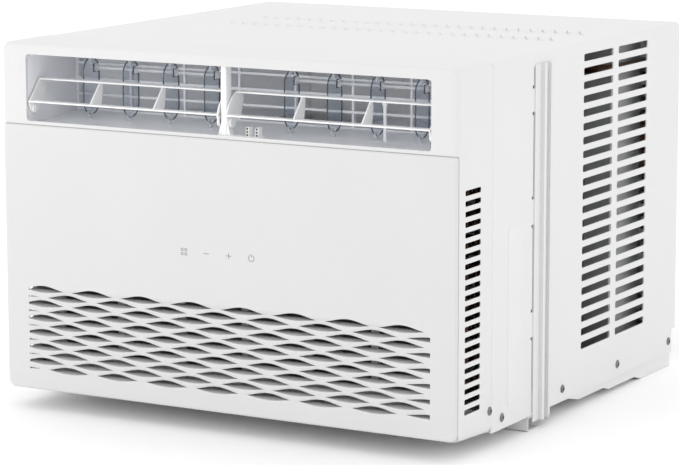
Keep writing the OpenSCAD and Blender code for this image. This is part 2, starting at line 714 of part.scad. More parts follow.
module terminal_cover() color("black")
    rod_z(comp_z[1] + 5, comp_z[1] + 22, comp_x + 14, comp_y - 10, 20);

module accumulator() color("#2b2b2b") translate([acc_x, acc_y, 0]) {
    translate([0, 0, 80]) cylinder(h = 110, r = acc_r);
    translate([0, 0, 70]) cylinder(h = 130, r = acc_r - 8);
    translate([0, 0, 62]) cylinder(h = 150, r = 7);
}

// a pipe through a list of points
module pipe(points, r) {
    for (i = [0 : len(points) - 2]) {
        v = points[i + 1] - points[i];
        length = norm(v);
        translate(points[i]) rotate([0, acos(v[2]/length), atan2(v[1], v[0])]) cylinder(h = length, r = r, $fn = 24);
    }
    for (i = [1 : len(points) - 2]) translate(points[i]) sphere(r*1.03, $fn = 24);
}
module suction_line() color("peru") pipe([[acc_x, acc_y, 212.2], [acc_x, acc_y, line_z], [acc_x, -20, line_z],
    [line_x, -20, line_z], [line_x, evap_y[1] - 7, line_z], [line_x, evap_y[1] - 7, 247]], pipe_r);
module discharge_line() color("peru") pipe([[comp_x - 20, comp_y + 10, comp_z[1] + 8.2],
    [comp_x - 20, comp_y + 10, 312], [comp_x - 20, 100, 312], [228, 100, 312], [228, 180, 312]], pipe_r);
module capillary_tube() color("peru") translate([-190, 60, 0]) {
    for (k = [0 : 4]) translate([0, 0, 150 + k*5]) rotate_extrude() translate([26, 0]) circle(1.6, $fn = 24);
    for (s = [-1, 1]) translate([26*s, 0, 148]) cylinder(h = 24, r = 1.4, $fn = 24);
}

module control_box() color("silver") difference() {
    block([104, -142, 40], [230, -48, 250]);
    block([105.2, -143.2, 41.2], [228.8, -49.2, 248.8]);
}
module control_box_cover() color("silver")
    block([103, -143.6, 39], [231, -142.2, 251]);
module main_board() color("darkgreen") {
    block([110, -58, 60], [224, -56.4, 230]);
    color("black") block([120, -74, 80], [150, -57.9, 110]);
    color("black") block([160, -70, 150], [180, -57.9, 180]);
}
module run_capacitor() color("silver") rod_z(60, 130, 200, -100, 20);

module drain_plug() color("black") {
    rod_z(1.7, 6, drain_x, drain_y, drain_r + 3);
    rod_z(0.2, 2, drain_x, drain_y, drain_r - 0.3);
}

front_bezel();
intake_panel();
touch_board();
filter_frame();
filter_mesh();
outlet_duct();
outlet_lattice();
centre_pillar();
louvre_left();
louvre_right();
vane_left_1();
vane_left_2();
vane_left_3();
vane_left_4();
vane_right_1();
vane_right_2();
vane_right_3();
vane_right_4();
tie_rod_left();
tie_rod_right();
cabinet_shell();
base_pan();
sill_rail();
curtain_channel_left();
curtain_channel_right();
rating_label();
case_screws();
evaporator_fins();
evaporator_tubes();
evaporator_tray();
blower_scroll();
inlet_ring();
blower_wheel();
bulkhead();
fan_motor();
motor_bracket();
fan_shaft();
condenser_fan();
condenser_shroud();
condenser_fins();
condenser_tubes();
compressor();
compressor_grommets();
compressor_nuts();
terminal_cover();
accumulator();
suction_line();
discharge_line();
capillary_tube();
control_box();
control_box_cover();
main_board();
run_capacitor();
cord_gland();
drain_plug();
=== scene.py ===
import bpy, bmesh, json
from math import cos, sin, pi, radians
from mathutils import Matrix, Vector


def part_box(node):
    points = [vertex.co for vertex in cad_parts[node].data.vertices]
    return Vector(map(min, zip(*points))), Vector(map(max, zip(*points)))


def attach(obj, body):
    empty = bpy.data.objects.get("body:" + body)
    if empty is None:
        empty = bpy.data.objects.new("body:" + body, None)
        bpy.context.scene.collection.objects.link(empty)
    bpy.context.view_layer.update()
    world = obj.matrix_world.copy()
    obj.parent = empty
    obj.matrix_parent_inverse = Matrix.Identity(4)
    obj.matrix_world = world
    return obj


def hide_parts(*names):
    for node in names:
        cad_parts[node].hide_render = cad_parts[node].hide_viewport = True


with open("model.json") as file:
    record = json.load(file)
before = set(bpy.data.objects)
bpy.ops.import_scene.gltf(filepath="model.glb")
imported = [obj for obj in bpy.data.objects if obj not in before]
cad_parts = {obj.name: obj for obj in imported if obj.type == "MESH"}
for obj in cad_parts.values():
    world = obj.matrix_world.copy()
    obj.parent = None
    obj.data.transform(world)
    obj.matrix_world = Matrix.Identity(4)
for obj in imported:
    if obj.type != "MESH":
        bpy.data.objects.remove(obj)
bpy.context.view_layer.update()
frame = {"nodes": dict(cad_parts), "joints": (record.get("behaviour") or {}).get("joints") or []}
nodes = frame["nodes"]
scene = bpy.context.scene
mm = 0.001    # sizes below are in millimetres, meshes are scaled by this at the end


def boxOf(node):
    lo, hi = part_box(node)
    return Vector(lo)/mm, Vector(hi)/mm


def hingePoint(jointName):
    joint = next(j for j in frame["joints"] if j["name"] == jointName)
    return Vector(joint["pos_m"])/mm


# ---- colour and material tools

def fromHex(text):
    parts = [int(text[i:i + 2], 16)/255 for i in (1, 3, 5)]
    return tuple(c/12.92 if c <= 0.04045 else ((c + 0.055)/1.055)**2.4 for c in parts) + (1,)


def addNode(tree, kind, settings=None, links=None):
    node = tree.nodes.new(kind)
    for name, value in (settings or {}).items():
        if isinstance(name, int) or name in node.inputs:
            node.inputs[name].default_value = value
        else:
            setattr(node, name, value)
    for name, source in (links or {}).items():
        tree.links.new(source, node.inputs[name])
    return node


def startMaterial(name, colour, sockets):
    material = bpy.data.materials.new(name)
    material.use_nodes = True
    material.diffuse_color = fromHex(colour)
    shader = material.node_tree.nodes["Principled BSDF"]
    shader.inputs["Base Color"].default_value = fromHex(colour)
    for socket, value in sockets.items():
        shader.inputs[socket].default_value = value
    return material, material.node_tree, shader


def placeOf(tree):
    return addNode(tree, "ShaderNodeTexCoord").outputs["Object"]


def grain(tree, size, detail=2, source=None):
    # noise whose lumps are about size millimetres across
    return addNode(tree, "ShaderNodeTexNoise", {"Scale": 1/(size*mm), "Detail": detail, "Roughness": 0.55},
                   {"Vector": source or placeOf(tree)}).outputs["Fac"]


def tint(tree, shader, factor, low, high):
    # base colour between two hex values
    mix = addNode(tree, "ShaderNodeMix", {"data_type": "RGBA"}, {"Factor": factor})
    mix.inputs[6].default_value, mix.inputs[7].default_value = fromHex(low), fromHex(high)
    tree.links.new(mix.outputs[2], shader.inputs["Base Color"])
    return mix.outputs[2]


def vary(tree, shader, socket, factor, low, high):
    span = addNode(tree, "ShaderNodeMapRange", {"To Min": low, "To Max": high}, {"Value": factor})
    tree.links.new(span.outputs["Result"], shader.inputs[socket])


def relief(tree, shader, height, depth, strength=1.0):
    # bump of that depth in millimetres
    bump = addNode(tree, "ShaderNodeBump", {"Strength": strength, "Distance": depth*mm}, {"Height": height})
    tree.links.new(bump.outputs["Normal"], shader.inputs["Normal"])


# ---- the finishes

finishes = {}


def mouldedPlastic(name, colour, shade, roughness, grainSize, depth, spread=0.08):
    # moulded ABS: spark-eroded grain that softens the highlight, faint change of tone across the part
    material, tree, shader = startMaterial(name, colour, {"Roughness": roughness, "IOR": 1.53})
    tint(tree, shader, grain(tree, 90, 1), shade, colour)
    fine = grain(tree, grainSize, 3)
    vary(tree, shader, "Roughness", fine, roughness - spread/2, roughness + spread/2)
    relief(tree, shader, fine, depth)
    finishes[name] = material


# grain is 0.3 mm on the tool, drawn at about 0.7 mm so that it shows
mouldedPlastic("bezelAbs", "#DADADA", "#D7D7D7", 0.46, 0.7, 0.012)
mouldedPlastic("panelAbs", "#D5D5D5", "#D2D2D2", 0.40, 0.7, 0.006)
mouldedPlastic("louvreAbs", "#F6F6F6", "#F2F2F2", 0.28, 0.9, 0.004)
mouldedPlastic("ductAbs", "#F7F8FB", "#F1F3F7", 0.40, 0.8, 0.010)
mouldedPlastic("filterPlastic", "#B9BABA", "#ABACAC", 0.5, 0.8, 0.02)
mouldedPlastic("fanPlastic", "#2B2D2F", "#232527", 0.5, 0.9, 0.02)      # glass-filled, dull
mouldedPlastic("shroudPlastic", "#B9BBBD", "#ABADAF", 0.5, 0.9, 0.02)
mouldedPlastic("blackPlastic", "#161616", "#101010", 0.42, 0.7, 0.01)


def powderCoat():
    # polyester powder on sheet steel: satin, with the soft orange peel that baking leaves
    gloss = {"Roughness": 0.48, "IOR": 1.5, "Specular IOR Level": 0.35}
    material, tree, shader = startMaterial("powderCoat", "#D6D6D6", gloss)
    peel = grain(tree, 2.4, 1)
    speck = grain(tree, 0.6, 2)
    tint(tree, shader, grain(tree, 140, 1), "#D8D8D8", "#DCDCDC")
    vary(tree, shader, "Roughness", speck, 0.40, 0.50)
    relief(tree, shader, peel, 0.025)
    finishes["powderCoat"] = material


def galvanised():
    # hot-dip zinc: flat crystals of 6 to 10 mm that each catch the light a little differently
    material, tree, shader = startMaterial("galvanised", "#B8BCBF", {"Metallic": 1.0, "Roughness": 0.38})
    cells = addNode(tree, "ShaderNodeTexVoronoi", {"Scale": 1/(8*mm)}, {"Vector": placeOf(tree)})
    single = addNode(tree, "ShaderNodeSeparateColor", links={"Color": cells.outputs["Color"]})
    tint(tree, shader, single.outputs["Red"], "#A4A9AD", "#C6CACC")
    vary(tree, shader, "Roughness", single.outputs["Green"], 0.28, 0.48)
    finishes["galvanised"] = material


def bareMetal(name, colour, shade, roughness, streak):
    # drawn or rolled metal: fine lines along the working direction
    material, tree, shader = startMaterial(name, colour, {"Metallic": 1.0, "Roughness": roughness})
    stretched = addNode(tree, "ShaderNodeMapping", {"Scale": streak}, {"Vector": placeOf(tree)})
    lines = addNode(tree, "ShaderNodeTexNoise", {"Scale": 1/(6*mm), "Detail": 3, "Roughness": 0.6},
                    {"Vector": stretched.outputs["Vector"]}).outputs["Fac"]
    tint(tree, shader, lines, shade, colour)
    vary(tree, shader, "Roughness", lines, roughness - 0.08, roughness + 0.10)
    relief(tree, shader, lines, 0.01)
    finishes[name] = material


powderCoat()
galvanised()
bareMetal("finAluminium", "#D6D9DB", "#B9BDC0", 0.34, (1, 1, 8))
bareMetal("agedCopper", "#8C6C59", "#5F4A3E", 0.38, (1, 1, 1))
bareMetal("groundSteel", "#A9ABAD", "#8F9193", 0.28, (1, 8, 1))
bareMetal("zincPlate", "#8F8F8C", "#6A6A67", 0.26, (1, 1, 1))
bareMetal("capacitorCan", "#C4C6C8", "#ADAFB1", 0.34, (1, 1, 6))


def enamel(name, colour, shade, roughness):
    # sprayed black enamel on a pressed shell: glossy with a slow ripple
    gloss = {"Roughness": roughness, "Coat Weight": 0.5, "Coat Roughness": 0.12}
    material, tree, shader = startMaterial(name, colour, gloss)
    ripple = grain(tree, 5, 2)
    tint(tree, shader, ripple, shade, colour)
    relief(tree, shader, ripple, 0.05)
    finishes[name] = material


enamel("shellEnamel", "#1C1D1F", "#141516", 0.3)
enamel("motorEnamel", "#26282A", "#1D1F20", 0.42)


def foam():
    # expanded polystyrene: fused beads of about 3 mm; the grooves between the beads are painted darker as
    # shade
    material, tree, shader = startMaterial("beadFoam", "#F1F2F0", {"Roughness": 0.75})
    cells = addNode(tree, "ShaderNodeTexVoronoi", {"Scale": 1/(3*mm)}, {"Vector": placeOf(tree)})
    beadsAndGrooveShade = cells.outputs["Distance"]
    tint(tree, shader, beadsAndGrooveShade, "#F5F6F4", "#DDDFDC")
    relief(tree, shader, beadsAndGrooveShade, -0.3)
    finishes["beadFoam"] = material


def circuitBoard():
    # green solder mask over copper tracks
    gloss = {"Roughness": 0.32, "Coat Weight": 0.4, "Coat Roughness": 0.1}
    material, tree, shader = startMaterial("circuitBoard", "#14512B", gloss)
    bricks = {"Scale": 1/(14*mm), "Mortar Size": 0.03, "offset": 0.37}
    tracks = addNode(tree, "ShaderNodeTexBrick", bricks, {"Vector": placeOf(tree)}).outputs["Fac"]
    tint(tree, shader, tracks, "#14512B", "#2B7D46")
    relief(tree, shader, tracks, 0.04)
    finishes["circuitBoard"] = material


def rubber():
    # moulded rubber: matt, with a dusty bloom
    bloomed = {"Roughness": 0.72, "Sheen Weight": 0.15, "Sheen Roughness": 0.5}
    material, tree, shader = startMaterial("mouldedRubber", "#1A1A1A", bloomed)
    bloom = grain(tree, 4, 4)
    tint(tree, shader, bloom, "#141414", "#2A2A29")
    relief(tree, shader, grain(tree, 0.5, 2), 0.03)
    finishes["mouldedRubber"] = material


def clearPlastic(name, colour, roughness, cover):
    # moulded polycarbonate or polystyrene, see-through, with faint flow marks in the gloss
    gloss = {"Roughness": roughness, "IOR": 1.58, "Alpha": cover}
    material, tree, shader = startMaterial(name, colour, gloss)
    flow = grain(tree, 12, 2)
    vary(tree, shader, "Roughness", flow, roughness, roughness + 0.05)
    relief(tree, shader, flow, 0.02)
    finishes[name] = material


def filterNet():
    # woven nylon net, 1.2 mm cells drawn at their size: square threads with gaps. The net is coloured dark
    # grey as painted shade for the grille's openings, and the gaps are painted darker still as shade seen
    # through the net
    dull = {"Roughness": 0.8, "Sheen Weight": 0.2, "Sheen Roughness": 0.4}
    material, tree, shader = startMaterial("filterNet", "#2A2C2E", dull)
    upright = addNode(tree, "ShaderNodeMapping", {"Rotation": (radians(90), 0, 0)}, {"Vector": placeOf(tree)})
    cells = {"Scale": 1/(1.2*mm), "Mortar Size": 0.16, "offset": 0.0, "Brick Width": 1.0, "Row Height": 1.0}
    threadsAndGapShade = addNode(tree, "ShaderNodeTexBrick", cells, {"Vector": upright.outputs["Vector"]}).outputs["Fac"]
    tint(tree, shader, threadsAndGapShade, "#151617", "#3A3C3E")
    relief(tree, shader, threadsAndGapShade, 0.2)
    finishes["filterNet"] = material


def labelFilm():
    # matt polyester film, blank, a little whiter than the paint under it
    gloss = {"Roughness": 0.36, "Coat Weight": 0.2, "Coat Roughness": 0.25}
    material, tree, shader = startMaterial("labelFilm", "#DADADA", gloss)
    tint(tree, shader, grain(tree, 30, 1), "#D8D8D8", "#DCDCDC")
    relief(tree, shader, grain(tree, 3, 1), 0.01)
    finishes["labelFilm"] = material


def padInk():
    # pad-printed grey ink
    material, tree, shader = startMaterial("padInk", "#8E8E8E", {"Roughness": 0.5})
    tint(tree, shader, grain(tree, 0.5, 1), "#868686", "#989898")
    finishes["padInk"] = material


foam()
circuitBoard()
rubber()
clearPlastic("smokePolycarbonate", "#9DB2D0", 0.10, 0.16)
clearPlastic("smokeRim", "#2B3A4C", 0.15, 0.85)                # the edge gathers the tint
clearPlastic("milkyPolystyrene", "#F2F5F9", 0.18, 0.55)
filterNet()
labelFilm()
padInk()

# ---- mesh tools

def addBlock(bm, lo, hi):
    lo, hi = Vector(lo), Vector(hi)
    place = Matrix.Translation((lo + hi)/2) @ Matrix.Diagonal((*(hi - lo), 1))
    return bmesh.ops.create_cube(bm, size=1, matrix=place)["verts"]


def addRod(bm, start, end, radius, endRadius=None, segments=24):
    start, end = Vector(start), Vector(end)
    place = Matrix.Translation((start + end)/2) @ (end - start).to_track_quat("Z", "Y").to_matrix().to_4x4()
    endRadius = radius if endRadius is None else endRadius
    return bmesh.ops.create_cone(bm, cap_ends=True, segments=segments, radius1=radius, radius2=endRadius,
                                 depth=(end - start).length, matrix=place)["verts"]


def bevelEdges(bm, edges, width, segments):
    bmesh.ops.bevel(bm, geom=list(edges), offset=width, offset_type="OFFSET", segments=segments, profile=0.5,
                    affect="EDGES", material=-1, clamp_overlap=True)


def roundCorners(bm, verts, radius, segments):
    bmesh.ops.bevel(bm, geom=list(verts), offset=radius, segments=segments, profile=0.5, affect="VERTICES",
                    material=-1)


def edgesOf(verts, along=None, test=None, slack=0.999):
    # edges among verts, those parallel to one axis if along is given
    found = {e for v in verts for e in v.link_edges if e.other_vert(v) in verts}
    kept = []
    for e in found:
        a, b = (v.co for v in e.verts)
        direction = (b - a).normalized()
        if (along is None or abs(direction[along]) > slack) and (test is None or test((a + b)/2)):
            kept.append(e)
    return kept


def asObject(bm, name):
    mesh = bpy.data.meshes.new(name)
    bm.to_mesh(mesh)
    bm.free()
    piece = bpy.data.objects.new(name, mesh)
    scene.collection.objects.link(piece)
    return piece


def cutAway(bm, cutter, operation="DIFFERENCE"):
    # boolean of two closed bmeshes; gives a new bmesh
    body, tool = asObject(bm, "cutBody"), asObject(cutter, "cutTool")
    cut = body.modifiers.new("cut", "BOOLEAN")
    cut.operation, cut.solver, cut.object = operation, "EXACT", tool
    result = bpy.data.meshes.new_from_object(body.evaluated_get(bpy.context.evaluated_depsgraph_get()))
    made = bmesh.new()
    made.from_mesh(result)
    for thing in (body, tool):
        bpy.data.objects.remove(thing)
    bmesh.ops.dissolve_limit(made, angle_limit=radians(0.5), verts=made.verts, edges=made.edges)
    return made


def plate(outline, push, corner=0.0, segments=4):
    # closed plate: an outline, its corners rounded, pushed along a vector
    part = bmesh.new()
    part.faces.new([part.verts.new(p) for p in outline])
    if corner:
        roundCorners(part, part.verts, corner, segments)
    made = bmesh.ops.extrude_face_region(part, geom=part.faces[:])["geom"]
    bmesh.ops.translate(part, vec=push, verts=[g for g in made if isinstance(g, bmesh.types.BMVert)])
    bmesh.ops.recalc_face_normals(part, faces=part.faces)
    return part


def addCopies(bm, part, places=(Matrix(),)):
    # puts a small mesh into bm once for every place
    shape = bpy.data.meshes.new("copiedShape")
    part.to_mesh(shape)
    part.free()
    for place in places:
        moved = shape.copy()
        moved.transform(place)
        bm.from_mesh(moved)
        bpy.data.meshes.remove(moved)
    bpy.data.meshes.remove(shape)


def turned(profile, centre, axis="Y", steps=48):
    # closed round body from (radius, place along the axis) points, first and last on the axis
    part = bmesh.new()
    verts = [part.verts.new((r, 0, h)) for r, h in profile]
    edges = [part.edges.new(pair) for pair in zip(verts, verts[1:])]
    bmesh.ops.spin(part, geom=verts + edges, cent=(0, 0, 0), axis=(0, 0, 1), angle=2*pi, steps=steps,
                   use_merge=True)
    bmesh.ops.remove_doubles(part, verts=part.verts, dist=0.001)
    if axis == "Y":
        bmesh.ops.rotate(part, matrix=Matrix.Rotation(radians(-90), 3, "X"), verts=part.verts)
    if axis == "X":
        bmesh.ops.rotate(part, matrix=Matrix.Rotation(radians(90), 3, "Y"), verts=part.verts)
    bmesh.ops.recalc_face_normals(part, faces=part.faces)
    bmesh.ops.translate(part, vec=centre, verts=part.verts)
    return part


def flipped(bm):
    # the same shape for the left side
    bmesh.ops.scale(bm, vec=(-1, 1, 1), verts=bm.verts)
    bmesh.ops.reverse_faces(bm, faces=bm.faces)
    return bm


def finishPiece(name, bm, body, materials, replaces=(), soft=0.0, segments=2, angle=35, weighted=False):
    # metres, normals, shading, soft edges, then what it rides on and stands for
    bmesh.ops.scale(bm, vec=(mm, mm, mm), verts=bm.verts)
    piece = asObject(bm, name)
    for material in materials:
        piece.data.materials.append(finishes[material])
    piece.data.shade_smooth()
    if soft:
        bevel = piece.modifiers.new("softEdges", "BEVEL")
        bevel.width, bevel.segments = soft*mm, segments
        bevel.limit_method, bevel.angle_limit = "ANGLE", radians(angle)
        bevel.harden_normals = True
    else:
        piece.data.set_sharp_from_angle(angle=radians(angle))
    if weighted:
        piece.modifiers.new("evenNormals", "WEIGHTED_NORMAL").keep_sharp = True
    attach(piece, body)
    if replaces:
        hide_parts(*replaces)
    return piece


# ---- stage, light and camera

stageSetup = {
    "floorColour": "#FFFFFF", "worldStrength": 1.14,
    "cameraPlace": (1.3807, -2.4584, 0.6314), "cameraTurn": (80.328, 0.097, 29.535), "lens": 155.69,
}


def buildStage(setup):
    bm = bmesh.new()
    bmesh.ops.create_grid(bm, x_segments=1, y_segments=1, size=8)
    bmesh.ops.translate(bm, vec=(0, 0, -0.0002), verts=bm.verts)
    floor = asObject(bm, "floor")
    matt = {"Roughness": 0.9, "Specular IOR Level": 0.1}
    material, tree, shader = startMaterial("paleFloor", setup["floorColour"], matt)
    floor.data.materials.append(material)
    world = bpy.data.worlds.new("softStudio")
    world.use_nodes = True
    world.node_tree.nodes["Background"].inputs["Color"].default_value = (1, 1, 1, 1)
    world.node_tree.nodes["Background"].inputs["Strength"].default_value = setup["worldStrength"]
    scene.world = world
    scene.view_settings.view_transform = "Standard"


def addSoftbox(name, place, target, size, power):
    light = bpy.data.lights.new(name, "AREA")
    light.shape, light.size, light.energy = "DISK", size, power
    lamp = bpy.data.objects.new(name, light)
    lamp.location = place
    lamp.rotation_euler = (Vector(target) - Vector(place)).to_track_quat("-Z", "Y").to_euler()
    scene.collection.objects.link(lamp)


def addCamera(setup):
    data = bpy.data.cameras.new("mainCamera")
    data.lens, data.sensor_width = setup["lens"], 36
    data.clip_end = 50
    camera = bpy.data.objects.new("mainCamera", data)
    camera.location = setup["cameraPlace"]
    camera.rotation_euler = [radians(a) for a in setup["cameraTurn"]]
    scene.collection.objects.link(camera)
    scene.camera = camera


buildStage(stageSetup)
addSoftbox("frontSoftbox", (-1.6, -1.7, 0.5), (0, 0, 0.15), 1.0, 6)
addSoftbox("sideSoftbox", (2.2, 0.5, 0.9), (0, 0, 0.15), 1.0, 2)
addCamera(stageSetup)
print("stage ready")

# ---- front bezel

bezelLook = {"wall": 2.7, "corner": 8, "frontEdge": 4.5, "panelStep": 2.3, "windowCorner": 3,
             "underSlope": 3.5, "slotCount": 22, "slotPitch": 9.25, "slotFirst": 41.8, "slotHeight": 4.5,
             "slotFrom": 12.9, "slotTo": 41.2, "slotDraft": (7, 1.6)}


def lowerRear(verts, look):
    # the underside slopes down to the casing
    for v in verts:
        if v.co.z < 100 and v.co.y > -200:
            v.co.z -= look["underSlope"]


def buildBezel(look):
    lo, hi = boxOf("front_bezel")
    panelTop = boxOf("intake_panel")[1].z + 0.3
    outlet = {"half": 213, "low": 274.7, "high": 337}
    bm = bmesh.new()
    verts = set(addBlock(bm, lo, hi))
    lowerRear(verts, look)
    bevelEdges(bm, edgesOf(verts, 1, slack=0.99), look["corner"], 8)
    bevelEdges(bm, [e for e in bm.edges if all(v.co.y < lo.y + 0.01 for v in e.verts)], look["frontEdge"], 5)
    inside = bmesh.new()
    wall = look["wall"]
    verts = set(addBlock(inside, (lo.x + wall, lo.y + 3, lo.z + wall), (hi.x - wall, hi.y + 5, hi.z - wall)))
    lowerRear(verts, look)
    bevelEdges(inside, edgesOf(verts, 1, slack=0.99), look["corner"] - wall, 6)
    bm = cutAway(bm, inside)
    step = bmesh.new()
    addBlock(step, (lo.x - 5, lo.y - 5, -5), (hi.x + 5, lo.y + look["panelStep"], panelTop))
    bm = cutAway(bm, step)
    openings = bmesh.new()
    verts = set(addBlock(openings, (-outlet["half"], lo.y - 5, outlet["low"]),
                         (outlet["half"], lo.y + 3.6, outlet["high"])))
    bevelEdges(openings, edgesOf(verts, 1), look["windowCorner"], 5)
    for low, high in ((22, 150.7), (180.7, 262.3)):     # intake windows either side of the cross bar
        addBlock(openings, (-229, lo.y, low), (229, lo.y + 3.6, high))
    bm = cutAway(bm, openings)
    swing = bmesh.new()    # room for the panel's lower edge as it swings
    addBlock(swing, (lo.x - 5, lo.y - 5, 0), (hi.x + 5, -230.5, 21.6))
    bm = cutAway(bm, swing)
    corners = bmesh.new()
    addBlock(corners, (lo.x - 6, lo.y - 6, -1), (hi.x + 6, -235.1, 24.6))
    bm = cutAway(bm, corners)
    slots = bmesh.new()
    for side in (-1, 1):
        for i in range(look["slotCount"]):
            z = look["slotFirst"] + i*look["slotPitch"]
            ends = sorted((side*(hi.x - 4.5), side*(hi.x + 1)))
            front, rear = lo.y + look["slotFrom"], lo.y + look["slotTo"]
            verts = set(addBlock(slots, (ends[0], front, z), (ends[1], rear, z + look["slotHeight"])))
            for v in verts:     # drafted: longer and deeper on the inside
                if abs(v.co.x) < hi.x:
                    v.co.y += look["slotDraft"][0] if v.co.y > lo.y + 30 else 0
                    v.co.z -= look["slotDraft"][1] if v.co.z < z + 1 else 0
            bevelEdges(slots, edgesOf(verts, 0, slack=0.6), 1.2, 3)
    bm = cutAway(bm, slots)
    finishPiece("bezelFrame", bm, "chassis", ["bezelAbs"], ["front_bezel"], soft=0.45)


buildBezel(bezelLook)
print("bezel built")

# ---- intake panel with its wavy grille

panelLook = {"topCorner": 5, "bottomCorner": 9.5, "frontEdge": 2.5, "wall": 1.3, "wave": 54.5,
             "lensLength": 46, "lensAbove": 4.1, "lensBelow": 2.4, "cutScale": (0.3, 0.6), "rows": 12,
             "rowPitch": 6.9, "firstLens": -196.5, "topRow": 115.5, "grilleHalf": 213.5, "lip": 0.7,
             "rampDepth": 8.0, "rampRise": 0.30, "columns": 14}


def lensShape(dx, look, share):
    # how far an opening reaches above and below its row at dx from its middle: a hump over a flatter curve
    if abs(dx) >= look["lensLength"]/2:
        return 0.0, 0.0
    turn = 2*pi/look["wave"]
    least = cos(turn*look["lensLength"]/2)
    size = (cos(turn*dx) - least)/(1 - least)*share
    return look["lensAbove"]*size, look["lensBelow"]*size**0.8


def lensColumns(middle, look):
    # x places of one opening, cut off at the grille's sides
    half, limit = look["lensLength"]/2, look["grilleHalf"]
    xs = [middle - half + look["lensLength"]*i/look["columns"] for i in range(look["columns"] + 1)]
    kept = [x for x in xs if -limit < x < limit]
    if len(kept) < 2:
        return []
    if kept[0] - xs[0] > 0.01:
        kept.insert(0, -limit)
    if xs[-1] - kept[-1] > 0.01:
        kept.append(limit)
    return kept


def extrudeRim(bm, edges):
    # new verts on top of the old ones, to be moved on, and the edges between them
    made = bmesh.ops.extrude_edge_only(bm, edges=edges)["geom"]
    fresh = {g for g in made if isinstance(g, bmesh.types.BMVert)}
    return fresh, [g for g in made if isinstance(g, bmesh.types.BMEdge) and all(v in fresh for v in g.verts)]


def buildPanel(look):
    lo, hi = boxOf("intake_panel")
    face = lo.y + 0.05
    edge = look["frontEdge"]
    bm = bmesh.new()
    # flat front, inside its rounded edge
    sheet = bmesh.ops.create_grid(bm, x_segments=1, y_segments=1, size=1)["verts"]
    spread = Matrix.Diagonal((hi.x - edge, (hi.z - lo.z)/2 - edge, 1, 1))
    standing = Matrix.Translation((0, face, (lo.z + hi.z)/2)) @ Matrix.Rotation(radians(90), 4, "X")
    bmesh.ops.transform(bm, matrix=standing @ spread, verts=sheet)
    lower = [v for v in sheet if v.co.z < 100]
    upper = [v for v in sheet if v.co.z > 100]
    for corners, radius in ((lower, look["bottomCorner"]), (upper, look["topCorner"])):
        roundCorners(bm, corners, radius - edge, 6)
    bmesh.ops.delete(bm, geom=bm.faces[:], context="FACES_ONLY")
    outline = bm.edges[:]
    bottoms = []
    for row in range(look["rows"]):
        z = look["topRow"] - row*look["rowPitch"]
        for k in range(-(row % 2), 8):
            middle = look["firstLens"] + (k + (row % 2)/2)*look["wave"]
            xs = lensColumns(middle, look)
            if not xs:
                continue
            pastEnd = abs(middle) + look["lensLength"]/2 > look["grilleHalf"] + 6
            share = look["cutScale"][middle > 0] if pastEnd else 1    # smaller where the grille's end cuts it
            shape = [lensShape(x - middle, look, share) for x in xs]
            top = [bm.verts.new((x, face, z + up)) for x, (up, down) in zip(xs, shape)]
            low = []
            for i, (x, (up, down)) in enumerate(zip(xs, shape)):
                closed = up < 0.001 and i in (0, len(xs) - 1)
                low.append(top[i] if closed else bm.verts.new((x, face, z - down - min(look["lip"], 0.3*up))))
            chain = [bm.edges.new((a, b)) for a, b in zip(low, low[1:])]
            for a, b in zip(top, top[1:]):
                bm.edges.new((a, b))
            for a, b in ((top[0], low[0]), (top[-1], low[-1])):
                if a is not b:
                    bm.edges.new((a, b))
            bottoms.append((middle, z, share, chain))
    bmesh.ops.triangle_fill(bm, use_beauty=True, use_dissolve=False, edges=bm.edges[:], normal=(0, -1, 0))
    # each opening's lower edge rolls back into a ramp that rises behind the slat above
    for middle, z, share, chain in bottoms:
        for step in range(1, 8):
            fresh, chain = extrudeRim(bm, chain)
            for v in fresh:
                up, down = lensShape(v.co.x - middle, look, share)
                lip = min(look["lip"], 0.3*up)
                if step <= 3:
                    a = step*radians(25)
                    v.co.y, v.co.z = face + lip*(1 - cos(a)), z - down - lip + lip*sin(a)
                else:
                    t = (step - 3)/4
                    v.co.y = face + lip*0.75 + look["rampDepth"]*t
                    v.co.z = z - down + (up + down)*look["rampRise"]*t
    # the outer edge rolls back to the rim
    ring, grown = outline, 0
    middleZ, half = (lo.z + hi.z)/2, Vector((hi.x - edge, 0, (hi.z - lo.z)/2 - edge))
    roll = [(edge*sin(radians(a)), edge*(1 - cos(radians(a)))) for a in (22.5, 45, 67.5, 90)]
    for out, back in roll + [(edge, 3.4)]:
        fresh, ring = extrudeRim(bm, ring)
        for v in fresh:
            v.co.x *= (half.x + out)/(half.x + grown)
            v.co.z = middleZ + (v.co.z - middleZ)*(half.z + out)/(half.z + grown)
            v.co.y = face + back
        grown = out
    bmesh.ops.recalc_face_normals(bm, faces=bm.faces)
    flat = max(bm.faces, key=lambda f: f.calc_area())
    if flat.normal.y > 0:
        bmesh.ops.reverse_faces(bm, faces=bm.faces)
    panel = finishPiece("wavePanel", bm, "front_panel", ["panelAbs"], ["intake_panel"],
                        angle=38)
    wall = panel.modifiers.new("wall", "SOLIDIFY")
    wall.thickness, wall.offset = look["wall"]*mm, -1
    panel.modifiers.new("evenNormals", "WEIGHTED_NORMAL").keep_sharp = True
    # hinge ears, pins and catches behind it
    back = bmesh.new()
    pin = hingePoint("panel_hinge")
    for side in (-1, 1):
        ends = sorted((side*223, side*228))
        addRod(back, (ends[0], pin.y, pin.z), (ends[1], pin.y, pin.z), 3.4)
        addBlock(back, (ends[0], lo.y + 1.5, pin.z - 3.4), (ends[1], pin.y, pin.z + 3.4))
        addRod(back, (side*227.5, pin.y, pin.z), (side*235, pin.y, pin.z), 2)
        ends = sorted((side*130, side*146))
        addBlock(back, (ends[0], lo.y + 1.5, hi.z - 15), (ends[1], lo.y + 9, hi.z - 12.5))
        addBlock(back, (ends[0], lo.y + 7, hi.z - 12.6), (ends[1], lo.y + 9, hi.z - 11))
    finishPiece("panelHardware", back, "front_panel", ["panelAbs"], soft=0.25)


buildPanel(panelLook)
print("panel built")

# ---- air outlet: vanes, louvres, tie rods, pillar

